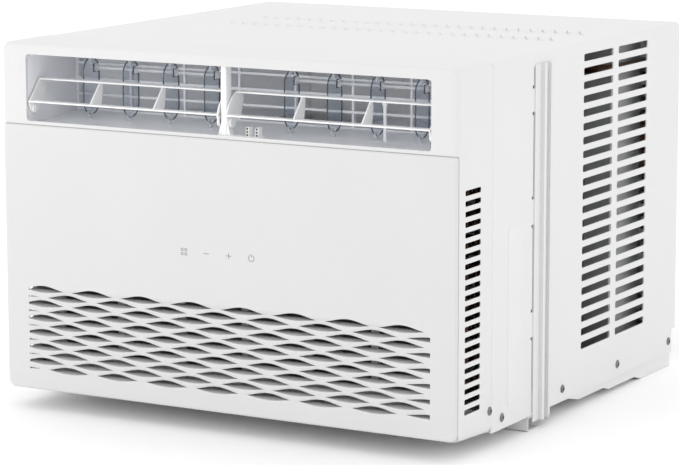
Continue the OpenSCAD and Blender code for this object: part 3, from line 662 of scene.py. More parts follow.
vaneLook = {"thick": 1.4, "bladeLow": 277, "bladeHigh": 331, "rim": 0.6, "hollow": 0.3, "stem": 1.9,
            "arm": 1.1, "notch": (317, 324), "pin": 1.2}


def buildVane(name, look):
    lo, hi = boxOf(name)
    pivot = hingePoint(name + "_swing")
    x, t = (lo.x + hi.x)/2, look["thick"]/2
    low, high = look["bladeLow"], look["bladeHigh"]
    bm = bmesh.new()
    verts = set(addBlock(bm, (x - t, lo.y, low), (x + t, hi.y, high)))
    bevelEdges(bm, edgesOf(verts, 0), (hi.y - lo.y)/2 - 0.05, 12)
    room = bmesh.new()    # room for the tie rod
    addBlock(room, (x - 3, pivot.y + 7, look["notch"][0]), (x + 3, hi.y + 1, look["notch"][1]))
    bm = cutAway(bm, room)
    sides = [f for f in bm.faces if abs(f.normal.x) > 0.9]
    for f in bm.faces:
        f.material_index = 2
    bmesh.ops.inset_individual(bm, faces=sides, thickness=look["rim"], depth=-look["hollow"],
                               use_even_offset=True)
    for f in sides:
        f.material_index = 1
    # forked stem below, plain stem above, pin for the tie rod
    addRod(bm, (x, pivot.y, lo.z), (x, pivot.y, low - 1.5), look["stem"], segments=20)
    for reach in (-5.5, 6):
        addRod(bm, (x, pivot.y, low - 2.5), (x, pivot.y + reach, low + 5), look["arm"], segments=12)
    addRod(bm, (x, pivot.y, high - 5), (x, pivot.y, hi.z), look["stem"], segments=20)
    notchLow, notchHigh = look["notch"]
    pinY = pivot.y + 11
    addRod(bm, (x, pinY, notchLow - 0.5), (x, pinY, notchHigh + 0.5), look["pin"], segments=16)
    smoked = ["milkyPolystyrene", "smokePolycarbonate", "smokeRim"]
    finishPiece(name + "_blade", bm, name, smoked, [name], angle=40)


for side in ("left", "right"):
    for number in range(1, 5):
        buildVane("vane_%s_%d" % (side, number), vaneLook)
print("vanes built")

louvreLook = {"inner": 4.2, "outer": 211.5, "web": 1.2, "lower": (-9, 1, 291.9, 293.5),
              "upper": (9, 21, 311.4, 313), "edge": 0.72, "pivot": 2.5, "boss": 4.5,
              "dropRod": (156.5, -218, 277, 311.8)}


def buildLouvre(side, look):
    pivot = hingePoint("louvre_%s_tilt" % side)
    inner, outer = look["inner"], look["outer"]
    bm = bmesh.new()
    for y0, y1, z0, z1 in (look["lower"], look["upper"]):
        blade = bmesh.new()
        verts = set(addBlock(blade, (inner, pivot.y + y0, z0), (outer, pivot.y + y1, z1)))
        bevelEdges(blade, edgesOf(verts, 0), look["edge"], 4)
        addCopies(bm, blade)
    # webs between the blades: (place behind the pivot, height)
    middle = [(-8.6, 292.2), (9.2, 312.6), (14, 312.6), (13, 302), (11.5, 292.2)]
    end = [(-8.6, 292.2), (9.2, 312.6), (20.6, 312.6), (20.6, 303), (14, 292), (4, 283.2), (-3, 281.8),
           (-5.5, 284)]
    inside = [(-8.6, 292.2), (-6, 299), (0, 307), (8, 312.2), (20.6, 312.6), (22, 305), (17, 292.5), (7, 283),
              (-1, 280.8), (-6, 283)]
    third = (outer - inner)/3
    webs = ((inner, inside), (inner + third, middle), (inner + 2*third, middle), (outer - look["web"], end))
    for x, outline in webs:
        addCopies(bm, plate([(x, pivot.y + y, z) for y, z in outline], (look["web"], 0, 0), 1.6))
    for x0, x1, r in ((inner - 2.6, inner + 3, look["pivot"]), (outer - 4, outer + 4, look["pivot"]),
                      (inner, inner + 3.2, look["boss"]), (outer - 3.2, outer, look["boss"])):
        addRod(bm, (x0, pivot.y, pivot.z), (x1, pivot.y, pivot.z), r, segments=32)
    if side == "left":
        flipped(bm)
    body = "louvre_" + side
    finishPiece("louvreBlades_" + side, bm, body, ["louvreAbs"], [body], soft=0.2, angle=50)
    if side == "right":    # clear rod that the swing linkage lifts this louvre by
        rod = bmesh.new()
        x, y, z0, z1 = look["dropRod"]
        verts = set(addBlock(rod, (x - 1.4, y - 1, z0), (x + 1.4, y + 1, z1)))
        bevelEdges(rod, edgesOf(verts, 2), 0.5, 3)
        addRod(rod, (x - 2, y, z1 - 1.5), (x + 2, y, z1 - 1.5), 1.6, segments=20)
        finishPiece("louvreDropRod", rod, "louvre_right", ["milkyPolystyrene"], angle=40)


for side in ("left", "right"):
    buildLouvre(side, louvreLook)
print("louvres built")

tieRodLook = {"half": 1.3, "eye": 3.0, "eyeHeight": 3.2, "bore": 1.35, "clip": (3.4, 2.2, 1.0)}


def buildTieRod(side, look):
    lo, hi = boxOf("tie_rod_" + side)
    y, z = (lo.y + hi.y)/2, (lo.z + hi.z)/2
    pins = [hingePoint("vane_%s_%d_swing" % (side, k)).x for k in range(1, 5)]
    half, eyeHalf, body = look["half"], look["eyeHeight"]/2, "link_" + side
    bm = bmesh.new()
    verts = set(addBlock(bm, (min(pins), y - half, z - half), (max(pins), y + half, z + half)))
    bevelEdges(bm, edgesOf(verts, 0), 0.5, 3)
    for x in pins:
        eye = bmesh.new()
        addRod(eye, (x, y, z - eyeHalf), (x, y, z + eyeHalf), look["eye"], segments=32)
        bm = cutAway(bm, eye, "UNION")
    bores = bmesh.new()
    for x in pins:
        addRod(bores, (x, y, z - 5), (x, y, z + 5), look["bore"], segments=20)
    bm = cutAway(bm, bores)
    node = "tie_rod_" + side
    finishPiece("gangRod_" + side, bm, body, ["milkyPolystyrene"], [node], angle=40)
    clips = bmesh.new()    # snap clips over the pins
    w, d, h = look["clip"]
    for x in pins:
        verts = set(addBlock(clips, (x - w, y - d, z + eyeHalf), (x + w, y + d, z + eyeHalf + h)))
        bevelEdges(clips, edgesOf(verts, 2), 0.6, 3)
    finishPiece("gangClips_" + side, clips, body, ["milkyPolystyrene"], angle=40)


for side in ("left", "right"):
    buildTieRod(side, tieRodLook)

pillarLook = {"half": 3, "depth": (-234, -224), "round": 1.3, "footEnd": 38, "footHeight": 2.4,
              "clips": (24, 34), "clipWidth": 3, "clipTop": 283.5, "slotShades": (276.4, 279.2, 282.0),
              "slotShadeHalf": 0.95}


def buildPillar(look):
    lo, hi = boxOf("centre_pillar")
    pivot = hingePoint("louvre_left_tilt")
    front, back = look["depth"]
    bm = bmesh.new()
    verts = set(addBlock(bm, (-look["half"], front, lo.z), (look["half"], back, hi.z)))
    bevelEdges(bm, edgesOf(verts, 2), look["round"], 4)
    clipWidth = look["clipWidth"]
    parts = [((-look["half"], front - 1, lo.z), (look["footEnd"], back - 2, lo.z + look["footHeight"]))]
    parts += [((x, front - 1, lo.z + 1), (x + clipWidth, back - 4, look["clipTop"])) for x in look["clips"]]
    for low, high in parts:
        extra = bmesh.new()
        verts = set(addBlock(extra, low, high))
        bevelEdges(extra, edgesOf(verts, 1), 0.5, 2)
        bm = cutAway(bm, extra, "UNION")
    flare = [(x, front + 1, lo.z + z) for x, z in ((-7, 0.2), (7, 0.2), (2.8, 14), (-2.8, 14))]
    bm = cutAway(bm, plate(flare, (0, 7, 0), 1.0), "UNION")
    bore = bmesh.new()
    addRod(bore, (-9, pivot.y, pivot.z), (9, pivot.y, pivot.z), 2.6, segments=32)
    bm = cutAway(bm, bore)
    finishPiece("louvrePillar", bm, "chassis", ["louvreAbs"], ["centre_pillar"], soft=0.2)
    # black blocks flush with the clips' front: painted shade standing in for the holes in the clips
    slotShades = bmesh.new()
    t = look["slotShadeHalf"]
    for middle in [x + clipWidth/2 for x in look["clips"]]:
        for z in look["slotShades"]:
            verts = set(addBlock(slotShades, (middle - t, front - 1.15, z - t), (middle + t, front, z + t)))
            bevelEdges(slotShades, edgesOf(verts, 1), 0.25, 2)
    finishPiece("clipSlotShade", slotShades, "chassis", ["blackPlastic"], angle=40)


buildPillar(pillarLook)

diffuserLook = {"front": -149, "rear": -50, "throat": (-17, 86), "half": 213.3, "thick": 2}


def buildDiffuser(look):
    # slanting walls behind the lattice, from the blower's throat out to the duct's sides
    floor, ceiling = 276.1, 337.4
    front, rear, thick = look["front"], look["rear"], look["thick"]
    bm = bmesh.new()
    for side, throat in zip((-look["half"], look["half"]), look["throat"]):
        outline = [(side, front), (throat, rear), (throat, rear + thick), (side, front + thick)]
        addCopies(bm, plate([(x, y, floor) for x, y in outline], (0, 0, ceiling - floor)))
    finishPiece("ductDiffuser", bm, "chassis", ["ductAbs"], soft=0.3)


buildDiffuser(diffuserLook)
print("outlet built")

# ---- sheet metal casing

cabinetLook = {"sheet": 1.2, "corner": 6, "hoodHeight": 1.8,
               "rearWindow": (226, 334), "rearCorner": (232, 38),
               "ventRows": 22, "ventPitch": 13, "ventFirst": 56.3, "ventHeight": 7,
               "ventColumns": ((14.9, 80.8), (92.7, 161)), "ventCorner": 2,
               "hoodRows": (24, 88), "hoodFirst": -150, "hoodPitch": 13, "hoodCount": 28, "hoodTurn": 28,
               "hoodLength": 26, "hoodWidth": 4.4,
               "slitSpans": ((317, 335), (216, 293), (112, 190), (16, 86)),
               "slitPlace": -91.8, "slitWidth": 1.8,
               "screwPlaces": ((-176.5, 35.8), (-152, 25), (-25, 26.3), (99.6, 26.3), (224, 26.3)),
               "screwHole": 2.05, "glandPlace": (-120, 60, 7.1)}


def slitCutter(x0, x1, look):
    # slits for the curtain channel's tabs, with a square end where one starts and stops
    cutter = bmesh.new()
    y, w = look["slitPlace"], look["slitWidth"]
    for low, high in look["slitSpans"]:
        addBlock(cutter, (x0, y, low + 0.5), (x1, y + w, high - 0.5))
    ends = bmesh.new()
    for span in look["slitSpans"]:
        for z in span:
            if 16 < z < 334:
                addBlock(ends, (x0, y - 2.2, z - 1.5), (x1, y + w, z + 1.5))
    return cutter, ends


def buildCabinet(look):
    lo, hi = boxOf("cabinet_shell")
    top, sheet = hi.z - look["hoodHeight"], look["sheet"]
    bm = bmesh.new()
    verts = set(addBlock(bm, (lo.x, lo.y, lo.z), (hi.x, hi.y, top)))
    bevelEdges(bm, edgesOf(verts, 1, lambda p: p.z > 300), look["corner"], 8)
    inside = bmesh.new()
    verts = set(addBlock(inside, (lo.x + sheet, lo.y - 5, lo.z - 20),
                         (hi.x - sheet, hi.y - sheet, top - sheet)))
    bevelEdges(inside, edgesOf(verts, 1, lambda p: p.z > 300), look["corner"] - sheet, 8)
    bm = cutAway(bm, inside)
    window = bmesh.new()
    half, high = look["rearWindow"]
    addBlock(window, (-half, hi.y - 5, 0), (half, hi.y + 5, high))
    bm = cutAway(bm, window)
    corner = bmesh.new()
    addBlock(corner, (lo.x - 5, look["rearCorner"][0], 0), (hi.x + 5, hi.y + 5, look["rearCorner"][1]))
    bm = cutAway(bm, corner)
    vents = bmesh.new()
    for y0, y1 in look["ventColumns"]:
        for row in range(look["ventRows"]):
            z = look["ventFirst"] + row*look["ventPitch"]
            verts = set(addBlock(vents, (lo.x - 5, y0, z), (hi.x + 5, y1, z + look["ventHeight"])))
            bevelEdges(vents, edgesOf(verts, 0), look["ventCorner"], 4)
    for y, z in look["screwPlaces"][1:]:
        addRod(vents, (lo.x - 5, y, z), (hi.x + 5, y, z), look["screwHole"])
    y, z, r = look["glandPlace"]
    addRod(vents, (lo.x - 5, y, z), (lo.x + 5, y, z), r)
    bm = cutAway(bm, vents)
    for cutter in slitCutter(lo.x - 1, hi.x + 1, look):
        bm = cutAway(bm, cutter)
    finishPiece("casingShell", bm, "chassis", ["powderCoat"], ["cabinet_shell"], soft=0.35)
    # pressed louvres on the top: each rises from the sheet to an open lip
    hood = bmesh.new()
    half, width, height = look["hoodLength"]/2, look["hoodWidth"], look["hoodHeight"]
    verts = addBlock(hood, (0, -half, -0.3), (width, half, height - 0.05))
    for v in verts:
        if v.co.z > 1:
            v.co.y *= 0.86
            if v.co.x > 1:
                v.co.z = 0.15
    lip = min(hood.faces, key=lambda f: f.calc_center_median().x)
    bmesh.ops.inset_individual(hood, faces=[lip], thickness=0.5, depth=-1.4)
    slopes = [e for e in hood.edges if e.calc_length() > 3 and min(v.co.x for v in e.verts) < 0.2
              and all(v.co.z > 0.1 and v.co.x > -0.1 and abs(v.co.y) > half*0.8 for v in e.verts)]
    bevelEdges(hood, slopes, 0.7, 3)
    slant = Matrix.Rotation(radians(look["hoodTurn"]), 4, "Z")
    places = [Matrix.Translation((look["hoodFirst"] + i*look["hoodPitch"], y, top)) @ slant
              for y in look["hoodRows"] for i in range(look["hoodCount"])]
    bm = bmesh.new()
    addCopies(bm, hood, places)
    finishPiece("topLouvres", bm, "chassis", ["powderCoat"], angle=50)


buildCabinet(cabinetLook)
print("casing built")

channelLook = {"plate": 1.0, "lips": (12, 25), "lipWide": 1.6, "hook": 4.5, "hookThick": 1.2,
               "rearSlits": (40, 150, 262), "rearSlitAt": 28.2, "rearSlitWide": 1.4, "rearSlitLength": 25}


def buildChannel(side, look):
    lo, hi = boxOf("curtain_channel_right")
    out, wide, (first, second) = lo.x + look["plate"], look["lipWide"], look["lips"]
    # section seen from above: flat plate, hooked lip, plain lip
    hookIn, hookEnd = hi.x - look["hookThick"], first + look["hook"]
    section = [(lo.x, 0), (out, 0), (out, first), (hi.x, first), (hi.x, hookEnd), (hookIn, hookEnd),
               (hookIn, first + wide), (out, first + wide), (out, second), (hi.x, second),
               (hi.x, second + wide), (out, second + wide), (out, hi.y - lo.y), (lo.x, hi.y - lo.y)]
    bm = plate([(x, lo.y + y, lo.z) for x, y in section], (0, 0, hi.z - lo.z))
    rear = bmesh.new()
    slit = lo.y + look["rearSlitAt"]
    for z in look["rearSlits"]:
        addBlock(rear, (lo.x - 1, slit, z),
                 (lo.x + 2, slit + look["rearSlitWide"], z + look["rearSlitLength"]))
    bm = cutAway(bm, rear)
    if side == "left":
        flipped(bm)
    name = "curtainChannel_" + side
    finishPiece(name, bm, "chassis", ["powderCoat"], ["curtain_channel_" + side], soft=0.3)


for side in ("left", "right"):
    buildChannel(side, channelLook)

sillLook = {"sheet": 1.2, "bend": 2.2, "topShort": 4, "holes": (-150, 150), "hole": 2.5}


def buildSill(look):
    lo, hi = boxOf("sill_rail")
    s = look["sheet"]
    bm = bmesh.new()
    verts = set(addBlock(bm, lo, hi))
    bevelEdges(bm, edgesOf(verts, 0, lambda p: p.y < lo.y + 1), look["bend"], 5)
    inside = bmesh.new()
    verts = set(addBlock(inside, (lo.x - 1, lo.y + s, lo.z + s), (hi.x + 1, hi.y + 5, hi.z - s)))
    bevelEdges(inside, edgesOf(verts, 0, lambda p: p.y < lo.y + 3), look["bend"] - s, 4)
    bm = cutAway(bm, inside)
    short = bmesh.new()
    addBlock(short, (lo.x - 1, hi.y - look["topShort"], hi.z - 3), (hi.x + 1, hi.y + 1, hi.z + 1))
    bm = cutAway(bm, short)
    holes = bmesh.new()
    for x in look["holes"]:
        addRod(holes, (x, (lo.y + hi.y)/2, -2), (x, (lo.y + hi.y)/2, 3), look["hole"])
    bm = cutAway(bm, holes)
    finishPiece("sillRail", bm, "chassis", ["powderCoat"], ["sill_rail"], soft=0.25)


buildSill(sillLook)

panLook = {"sheet": 1.5, "wallTop": 36, "frontTop": 21, "softBend": 2.0, "drain": (-150, 195, 6),
           "steps": ((-172, 14), (-11, 14), (15, 8), (72, 8), (83, 4.5), (145, 4.5), (160, 0), (231.5, 0)),
           "posts": ((221, 94, 5), (109, 94, 5), (165, -24, 15)), "postTop": 22, "post": 11, "postBore": 3}


def buildPan(look):
    lo, hi = boxOf("base_pan")
    steps, s = look["steps"], look["sheet"]
    front, rear = steps[0][0], steps[-1][0]
    outline = [(lo.x, y, z) for y, z in steps + ((rear, look["wallTop"]), (front, look["wallTop"]))]
    bm = plate(outline, (hi.x - lo.x, 0, 0))
    bends = [e for e in bm.edges if abs(e.verts[0].co.x - e.verts[1].co.x) > 1 and e.verts[0].co.z < 20]
    bevelEdges(bm, bends, look["softBend"], 3)
    inner = [(lo.x + s, max(front + s, min(y, rear - s)), z + s) for y, z in steps]
    inner += [(lo.x + s, rear - s, 100), (lo.x + s, front + s, 100)]
    bm = cutAway(bm, plate(inner, (hi.x - lo.x - 2*s, 0, 0)))
    low = bmesh.new()
    addBlock(low, (lo.x + s, lo.y - 1, look["frontTop"]), (hi.x - s, lo.y + s + 1, 40))
    bm = cutAway(bm, low)
    holes = bmesh.new()
    x, y, r = look["drain"]
    addRod(holes, (x, y, -2), (x, y, 10), r, segments=32)
    for y, z in cabinetLook["screwPlaces"][1:]:
        addRod(holes, (lo.x - 2, y, z), (lo.x + 5, y, z), cabinetLook["screwHole"])
        addRod(holes, (hi.x - 5, y, z), (hi.x + 2, y, z), cabinetLook["screwHole"])
    bm = cutAway(bm, holes)
    r, bore, top = look["post"], look["postBore"], look["postTop"]
    for x, y, z in look["posts"]:
        profile = [(0, z + 0.6), (r + 2, z + 0.6), (r + 0.6, z + 2.2), (r, z + 5), (r, top - 0.6),
                   (r - 0.6, top), (bore, top), (bore, z + 4), (0, z + 4)]
        addCopies(bm, turned(profile, (x, y, 0), "Z", 40))
    finishPiece("basePan", bm, "chassis", ["powderCoat"], ["base_pan"], soft=0.3)


buildPan(panLook)

labelLook = {"corner": 2.5}


def buildLabel(look):
    lo, hi = boxOf("rating_label")
    outline = [(lo.x, lo.y, lo.z), (lo.x, hi.y, lo.z), (lo.x, hi.y, hi.z), (lo.x, lo.y, hi.z)]
    bm = plate(outline, (hi.x - lo.x, 0, 0), look["corner"], 5)
    finishPiece("ratingLabel", bm, "chassis", ["labelFilm"], ["rating_label"], angle=40)


buildLabel(labelLook)

screwLook = {"flange": 4.1, "flangeThick": 0.5, "head": 3.3, "headHeight": 1.55, "shank": 2.0,
             "shankLength": 5, "slot": (0.85, 4.0, 1.0)}


def buildScrews(look):
    out = boxOf("case_screws")[1].x - 1.6
    flange, rim, headRadius, top = look["flange"], look["flangeThick"], look["head"], look["headHeight"]
    shank, tip = look["shank"], -look["shankLength"]
    profile = [(0, tip), (shank - 0.6, tip), (shank, tip + 1), (shank, 0), (flange - 0.1, 0), (flange, 0.15),
               (flange - 0.15, rim), (headRadius + 0.15, rim + 0.08), (headRadius, 0.8),
               (headRadius - 0.5, 1.25), (1.6, top), (0, top)]
    head = turned(profile, (0, 0, 0), "X", 28)
    wide, long, deep = look["slot"]
    for across, along in ((wide, long), (long, wide)):
        cross = bmesh.new()
        addBlock(cross, (top - deep, -across/2, -along/2), (top + 1, across/2, along/2))
        head = cutAway(head, cross)
    places = []
    for y, z in cabinetLook["screwPlaces"]:
        turn = Matrix.Rotation(radians(17 + 31*len(places)), 4, "X")
        places.append(Matrix.Translation((out, y, z)) @ turn)
        places.append(Matrix.Translation((-out, y, z)) @ Matrix.Rotation(pi, 4, "Z") @ turn)
    bm = bmesh.new()
    addCopies(bm, head, places)
    finishPiece("casingScrews", bm, "chassis", ["zincPlate"], ["case_screws"], angle=35)


buildScrews(screwLook)

iconLook = {"keys": (-39.7, -16.0, 8.0, 31.8), "middle": 165.7, "thick": 0.05, "line": 0.75, "ring": 1.55,
            "grid": 1.95, "power": 3.3, "bar": 5.6}


def addRing(bm, x, z, radius, look, gap=0.0):
    # flat printed ring, open at the top by gap millimetres
    part = bmesh.new()
    bmesh.ops.create_circle(part, cap_ends=True, segments=40, radius=radius)
    face = part.faces[:]
    bmesh.ops.inset_individual(part, faces=face, thickness=look["line"], use_even_offset=True)
    bmesh.ops.delete(part, geom=face, context="FACES")
    if gap:
        middles = {f: f.calc_center_median() for f in part.faces}
        opened = [f for f, middle in middles.items() if middle.y > 0 and abs(middle.x) < gap/2]
        bmesh.ops.delete(part, geom=opened, context="FACES")
    made = bmesh.ops.extrude_face_region(part, geom=part.faces[:])["geom"]
    raised = [g for g in made if isinstance(g, bmesh.types.BMVert)]
    bmesh.ops.translate(part, vec=(0, 0, look["thick"]), verts=raised)
    bmesh.ops.recalc_face_normals(part, faces=part.faces)
    place = Matrix.Translation((x, boxOf("intake_panel")[0].y + look["thick"], z))
    addCopies(bm, part, [place @ Matrix.Rotation(radians(90), 4, "X")])


def buildIcons(look):
    face = boxOf("intake_panel")[0].y
    menu, less, more, power = look["keys"]
    z, thick, half, arm = look["middle"], look["thick"], look["line"]/2, look["bar"]/2
    bm = bmesh.new()
    for dx in (-1, 1):
        for dz in (-1, 1):
            addRing(bm, menu + dx*look["grid"], z + dz*look["grid"], look["ring"], look)
    # bars: key, how far each side of it, then from and to above the middle
    bars = ((less, arm, -half, half), (more, arm, -half, half), (more, half, half, arm),
            (more, half, -arm, -half), (power, half, 0.6, look["power"] + 0.4))
    for x, reach, low, high in bars:
        addBlock(bm, (x - reach, face, z + low), (x + reach, face + thick, z + high))
    addRing(bm, power, z, look["power"], look, gap=2.4)
    finishPiece("touchIcons", bm, "front_panel", ["padInk"], angle=40)


buildIcons(iconLook)
print("channels, sill, pan, label, screws and icons built")

# ---- coils (fins are 0.12 mm foil at 1.4 mm, drawn thicker and further apart so that they show)

coilLook = {"fin": 0.8, "finPitch": 2.8, "tube": 3.5, "plateThick": 1.2, "tubePitch": 12.5}


def buildCoil(node, tubesNode, rowsAt, firstTube, lastTube, label, look):
    lo, hi = boxOf(node)
    t = look["plateThick"]
    bm = bmesh.new()
    fin = bmesh.new()
    addBlock(fin, (0, lo.y + 1, lo.z), (look["fin"], hi.y - 1, hi.z))
    count = int((hi.x - lo.x - 2*t)/look["finPitch"])
    gap = (hi.x - lo.x - 2*t - look["fin"])/(count - 1)
    addCopies(bm, fin, [Matrix.Translation((lo.x + t + i*gap, 0, 0)) for i in range(count)])
    finishPiece(label + "Fins", bm, "chassis", ["finAluminium"], [node], angle=40)
    ends = bmesh.new()
    for x in (lo.x, hi.x - t):
        addBlock(ends, (x, lo.y, lo.z), (x + t, hi.y, hi.z))
    finishPiece(label + "EndPlates", ends, "chassis", ["galvanised"], soft=0.2)
    tubes = bmesh.new()
    z = firstTube
    while z < lastTube:
        for y in rowsAt:
            addRod(tubes, (lo.x - 0.5, y, z), (hi.x + 0.5, y, z), look["tube"], segments=14)
        z += look["tubePitch"]
    finishPiece(label + "Tubes", tubes, "chassis", ["agedCopper"], angle=40)


buildCoil("condenser_fins", "condenser_tubes", (198, 216), 22, 320, "condenser", coilLook)
buildCoil("evaporator_fins", "evaporator_tubes", (-175, -157), 49, 250, "evaporator", coilLook)
print("coils built")

# ---- machine inside the casing

compressorLook = {"place": (165, 50), "shell": 56, "low": 36.5, "high": 262,
                  "feet": ((56, 44), (-56, 44), (0, -74)), "foot": 13, "footHole": 7.2, "plate": (34, 37),
                  "port": (-20, 10, 6.3)}


def buildCompressor(look):
    x, y = look["place"]
    r, low, high = look["shell"], look["low"], look["high"]
    # pressed shell: rounded bottom cap, weld bead, straight can, domed top cap
    profile = [(0, low), (r - 16, low), (r - 8, low + 2), (r - 3, low + 7), (r - 1, low + 15),
               (r - 1, low + 30), (r, low + 32), (r, low + 36), (r - 1, low + 38), (r - 1, high - 62),
               (r, high - 60), (r, high - 54), (r - 1, high - 52), (r - 1.5, high - 36), (r - 3, high - 28),
               (r - 7, high - 25), (r - 16, high - 15), (r - 28, high - 7), (r - 42, high - 1.6), (0, high)]
    bm = turned(profile, (x, y, 0), "Z", 56)
    z0, z1 = look["plate"]
    feet = plate([(x + fx*1.02, y + fy*1.02, z0) for fx, fy in look["feet"]], (0, 0, z1 - z0), 10, 5)
    for fx, fy in look["feet"]:
        pad = bmesh.new()
        addRod(pad, (x + fx, y + fy, z0), (x + fx, y + fy, z1), look["foot"], segments=32)
        feet = cutAway(feet, pad, "UNION")
    holes = bmesh.new()
    for fx, fy in look["feet"]:
        addRod(holes, (x + fx, y + fy, z0 - 2), (x + fx, y + fy, z1 + 2), look["footHole"], segments=28)
    feet = cutAway(feet, holes)
    addCopies(bm, feet)
    px, py, pr = look["port"]
    addRod(bm, (x + px, y + py, high - 8), (x + px, y + py, boxOf("compressor")[1].z), pr, segments=24)
    finishPiece("compressorShell", bm, "chassis", ["shellEnamel"], ["compressor"], angle=32)


buildCompressor(compressorLook)

accumulatorLook = {"body": 24, "neck": 7, "low": 80, "high": 190}


def buildAccumulator(look):
    lo, hi = boxOf("accumulator")
    x, y = (lo.x + hi.x)/2, (lo.y + hi.y)/2
    r, n, low, high = look["body"], look["neck"], look["low"], look["high"]
    profile = [(0, lo.z), (n, lo.z), (n, low - 8), (n + 4, low - 5), (r - 4, low + 4), (r, low + 14),
               (r, high - 14), (r - 4, high - 4), (n + 4, high + 6), (n, high + 9), (n, hi.z), (0, hi.z)]
    bm = turned(profile, (x, y, 0), "Z", 40)
    finishPiece("accumulatorShell", bm, "chassis", ["shellEnamel"], ["accumulator"], angle=32)


buildAccumulator(accumulatorLook)

motorLook = {"body": 58, "cap": 46, "boss": 14, "bore": 4.1, "ends": (-28, 66)}


def buildMotor(look):
    lo, hi = boxOf("fan_motor")
    x, z = (lo.x + hi.x)/2, (lo.z + hi.z)/2
    r, c, b, h = look["body"], look["cap"], look["boss"], look["bore"]
    y0, y1 = look["ends"]
    # one end, from the bore outwards: boss, end cap, body
    half = [(h, 0), (b - 2, 0), (b, 2), (b, 8), (c - 5, 8.5), (c, 11), (c, 15), (r - 4, 16), (r, 19)]
    profile = [(radius, y0 + y) for radius, y in half] + [(radius, y1 - y) for radius, y in reversed(half)]
    bm = turned(profile + [(h, y0)], (x, 0, z), "Y", 56)
    finishPiece("motorBody", bm, "chassis", ["motorEnamel"], ["fan_motor"], angle=32)


buildMotor(motorLook)

fanLook = {"blades": 5, "hub": 26, "tip": 123.4, "pitch": 24, "thick": 2.2, "chord": (44, 70), "camber": 4,
           "ring": (125, 122.8), "bore": 4}


def spokes(count, place):
    # equal turns about an axis through a place, along y
    return [Matrix.Translation(place) @ Matrix.Rotation(2*pi*i/count, 4, "Y") for i in range(count)]


def buildFan(look):
    lo, hi = boxOf("condenser_fan")
    x, z = (lo.x + hi.x)/2, (lo.z + hi.z)/2
    y0, y1 = lo.y, hi.y
    middle = (y0 + y1)/2
    h, b = look["hub"], look["bore"]
    hub = [(b, y0), (h - 4, y0), (h, y0 + 4), (h, y1 - 1), (h - 1, y1), (h - 5, y1), (h - 5, y0 + 6),
           (b + 6, y0 + 6), (b + 6, y1 - 3), (b, y1 - 3), (b, y0)]
    bm = turned(hub, (x, 0, z), "Y", 48)
    # twisted, cambered blade between hub and ring
    blade = bmesh.new()
    bmesh.ops.create_grid(blade, x_segments=8, y_segments=8, size=0.5)
    for v in blade.verts:
        along, across = v.co.x + 0.5, v.co.y
        radius = (h - 2) + (look["tip"] - h + 2)*along
        chord = look["chord"][0] + (look["chord"][1] - look["chord"][0])*along
        turn = radians(look["pitch"] + 10*(1 - along))
        sweep = radians(14*along)
        offset = chord*across
        lift = look["camber"]*(1 - 4*across*across)
        side = offset*cos(turn) - lift*sin(turn)
        depth = max(-14.0, min(14.0, offset*sin(turn) + lift*cos(turn)))
        angle = sweep + side/radius
        v.co = Vector((radius*cos(angle), depth, radius*sin(angle)))
    bmesh.ops.solidify(blade, geom=blade.faces[:], thickness=look["thick"])
    bmesh.ops.recalc_face_normals(blade, faces=blade.faces)
    addCopies(bm, blade, spokes(look["blades"], (x, middle, z)))
    outer, inner = look["ring"]
    a, c = middle - 4, middle + 10
    ring = [(inner, a), (outer - 0.3, a), (outer, a + 0.3), (outer, c - 0.3), (outer - 0.3, c), (inner, c),
            (inner, a)]
    addCopies(bm, turned(ring, (x, 0, z), "Y", 72))
    finishPiece("outdoorFan", bm, "rotor", ["fanPlastic"], ["condenser_fan"], angle=40)


buildFan(fanLook)

wheelLook = {"blades": 32, "outer": 88, "ring": 14, "bladeInner": 73.5, "curve": 9, "thick": 1.1, "hub": 14,
             "bore": 4, "dish": 9}


def buildWheel(look):
    lo, hi = boxOf("blower_wheel")
    x, z = boxOf("fan_shaft")[0].x + 4, boxOf("fan_shaft")[0].z + 4
    y0, y1 = lo.y, hi.y
    r, b, h, mouth = look["outer"], look["bore"], look["hub"], look["outer"] - look["ring"]
    dish = y1 - look["dish"]
    # back plate dished towards the hub, front ring
    back = [(b, y1 - 26), (h - 2, y1 - 26), (h, y1 - 24), (h + 1, dish - 2), (h + 20, dish - 2),
            (r - 24, y1 - 2), (r, y1 - 2), (r, y1), (r - 24, y1), (h + 20, dish), (b, dish), (b, y1 - 26)]
    bm = turned(back, (x, 0, z), "Y", 72)
    front = [(mouth, y0), (r, y0), (r, y0 + 3), (r - 3, y0 + 3), (mouth, y0 + 1.2), (mouth, y0)]
    addCopies(bm, turned(front, (x, 0, z), "Y", 72))
    blade = bmesh.new()
    bmesh.ops.create_grid(blade, x_segments=5, y_segments=1, size=0.5)
    for v in blade.verts:
        t = v.co.x + 0.5
        radius = look["bladeInner"] + (r - 0.6 - look["bladeInner"])*t
        angle = radians(look["curve"])*t*t
        v.co = Vector((radius*cos(angle), (y0 + 1) + (y1 - y0 - 2)*(v.co.y + 0.5), radius*sin(angle)))
    bmesh.ops.solidify(blade, geom=blade.faces[:], thickness=look["thick"])
    bmesh.ops.recalc_face_normals(blade, faces=blade.faces)
    addCopies(bm, blade, spokes(look["blades"], (x, 0, z)))
    finishPiece("blowerWheel", bm, "rotor", ["fanPlastic"], ["blower_wheel"], angle=40)


buildWheel(wheelLook)

pipeLook = {"radius": 4.8, "bend": 16, "sides": 8,
            "suction": ((80, 58, 212.2), (80, 58, 258), (80, -20, 258), (222, -20, 258), (222, -155, 258),
                        (222, -155, 247)),
            "discharge": ((145, 60, 270.2), (145, 60, 312), (145, 100, 312), (228, 100, 312),
                          (228, 180, 312))}


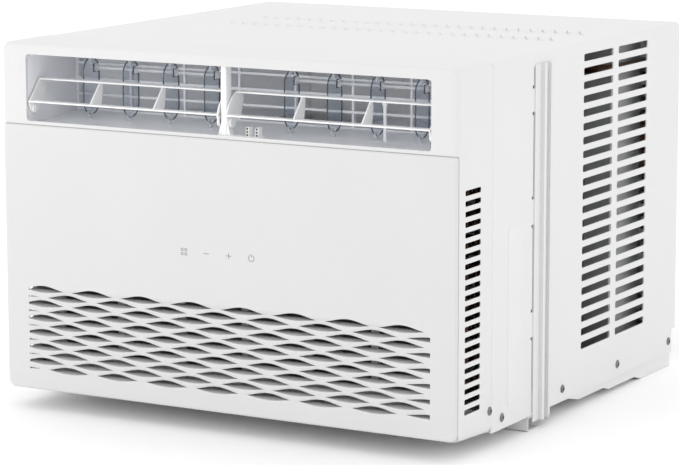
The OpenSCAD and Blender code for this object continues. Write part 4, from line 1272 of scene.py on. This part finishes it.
def buildPipe(name, points, replaces, look):
    # bent tube: straight runs joined by round bends
    line = bpy.data.curves.new(name, "CURVE")
    line.dimensions, line.use_fill_caps = "3D", True
    line.bevel_depth, line.bevel_resolution = look["radius"]*mm, 4
    path = [Vector(points[0])]
    for before, here, after in zip(points, points[1:], points[2:]):
        before, here, after = Vector(before), Vector(here), Vector(after)
        bend = min(look["bend"], (before - here).length*0.48, (after - here).length*0.48)
        a, b = here + (before - here).normalized()*bend, here + (after - here).normalized()*bend
        for i in range(look["sides"] + 1):
            t = i/look["sides"]
            path.append(a*(1 - t)**2 + here*2*t*(1 - t) + b*t**2)
    path.append(Vector(points[-1]))
    spline = line.splines.new("POLY")
    spline.points.add(len(path) - 1)
    for point, place in zip(spline.points, path):
        point.co = (*(place*mm), 1)
    holder = bpy.data.objects.new(name + "Line", line)
    scene.collection.objects.link(holder)
    mesh = bpy.data.meshes.new_from_object(holder.evaluated_get(bpy.context.evaluated_depsgraph_get()))
    bm = bmesh.new()
    bm.from_mesh(mesh)
    bpy.data.objects.remove(holder)
    bmesh.ops.remove_doubles(bm, verts=bm.verts, dist=0.00001)
    bmesh.ops.recalc_face_normals(bm, faces=bm.faces)
    bmesh.ops.scale(bm, vec=(1/mm, 1/mm, 1/mm), verts=bm.verts)
    finishPiece(name, bm, "chassis", ["agedCopper"], [replaces], angle=50)


buildPipe("suctionPipe", pipeLook["suction"], "suction_line", pipeLook)
buildPipe("dischargePipe", pipeLook["discharge"], "discharge_line", pipeLook)
print("machine built")

# ---- looks of the pieces that keep their shape

keptLooks = {
    "ductAbs": ["outlet_duct", "outlet_lattice"],
    "agedCopper": ["evaporator_tubes", "condenser_tubes", "capillary_tube"],
    "beadFoam": ["evaporator_tray", "blower_scroll", "inlet_ring"],
    "galvanised": ["bulkhead", "motor_bracket", "control_box", "control_box_cover"],
    "zincPlate": ["compressor_nuts"],
    "groundSteel": ["fan_shaft"], "shroudPlastic": ["condenser_shroud"],
    "mouldedRubber": ["compressor_grommets", "cord_gland", "drain_plug"],
    "blackPlastic": ["terminal_cover"], "circuitBoard": ["touch_board", "main_board"],
    "capacitorCan": ["run_capacitor"],
    "filterPlastic": ["filter_frame"], "filterNet": ["filter_mesh"],
}
for finish, names in keptLooks.items():
    for name in names:
        nodes[name].data.materials.clear()
        nodes[name].data.materials.append(finishes[finish])

print("all pieces ready")
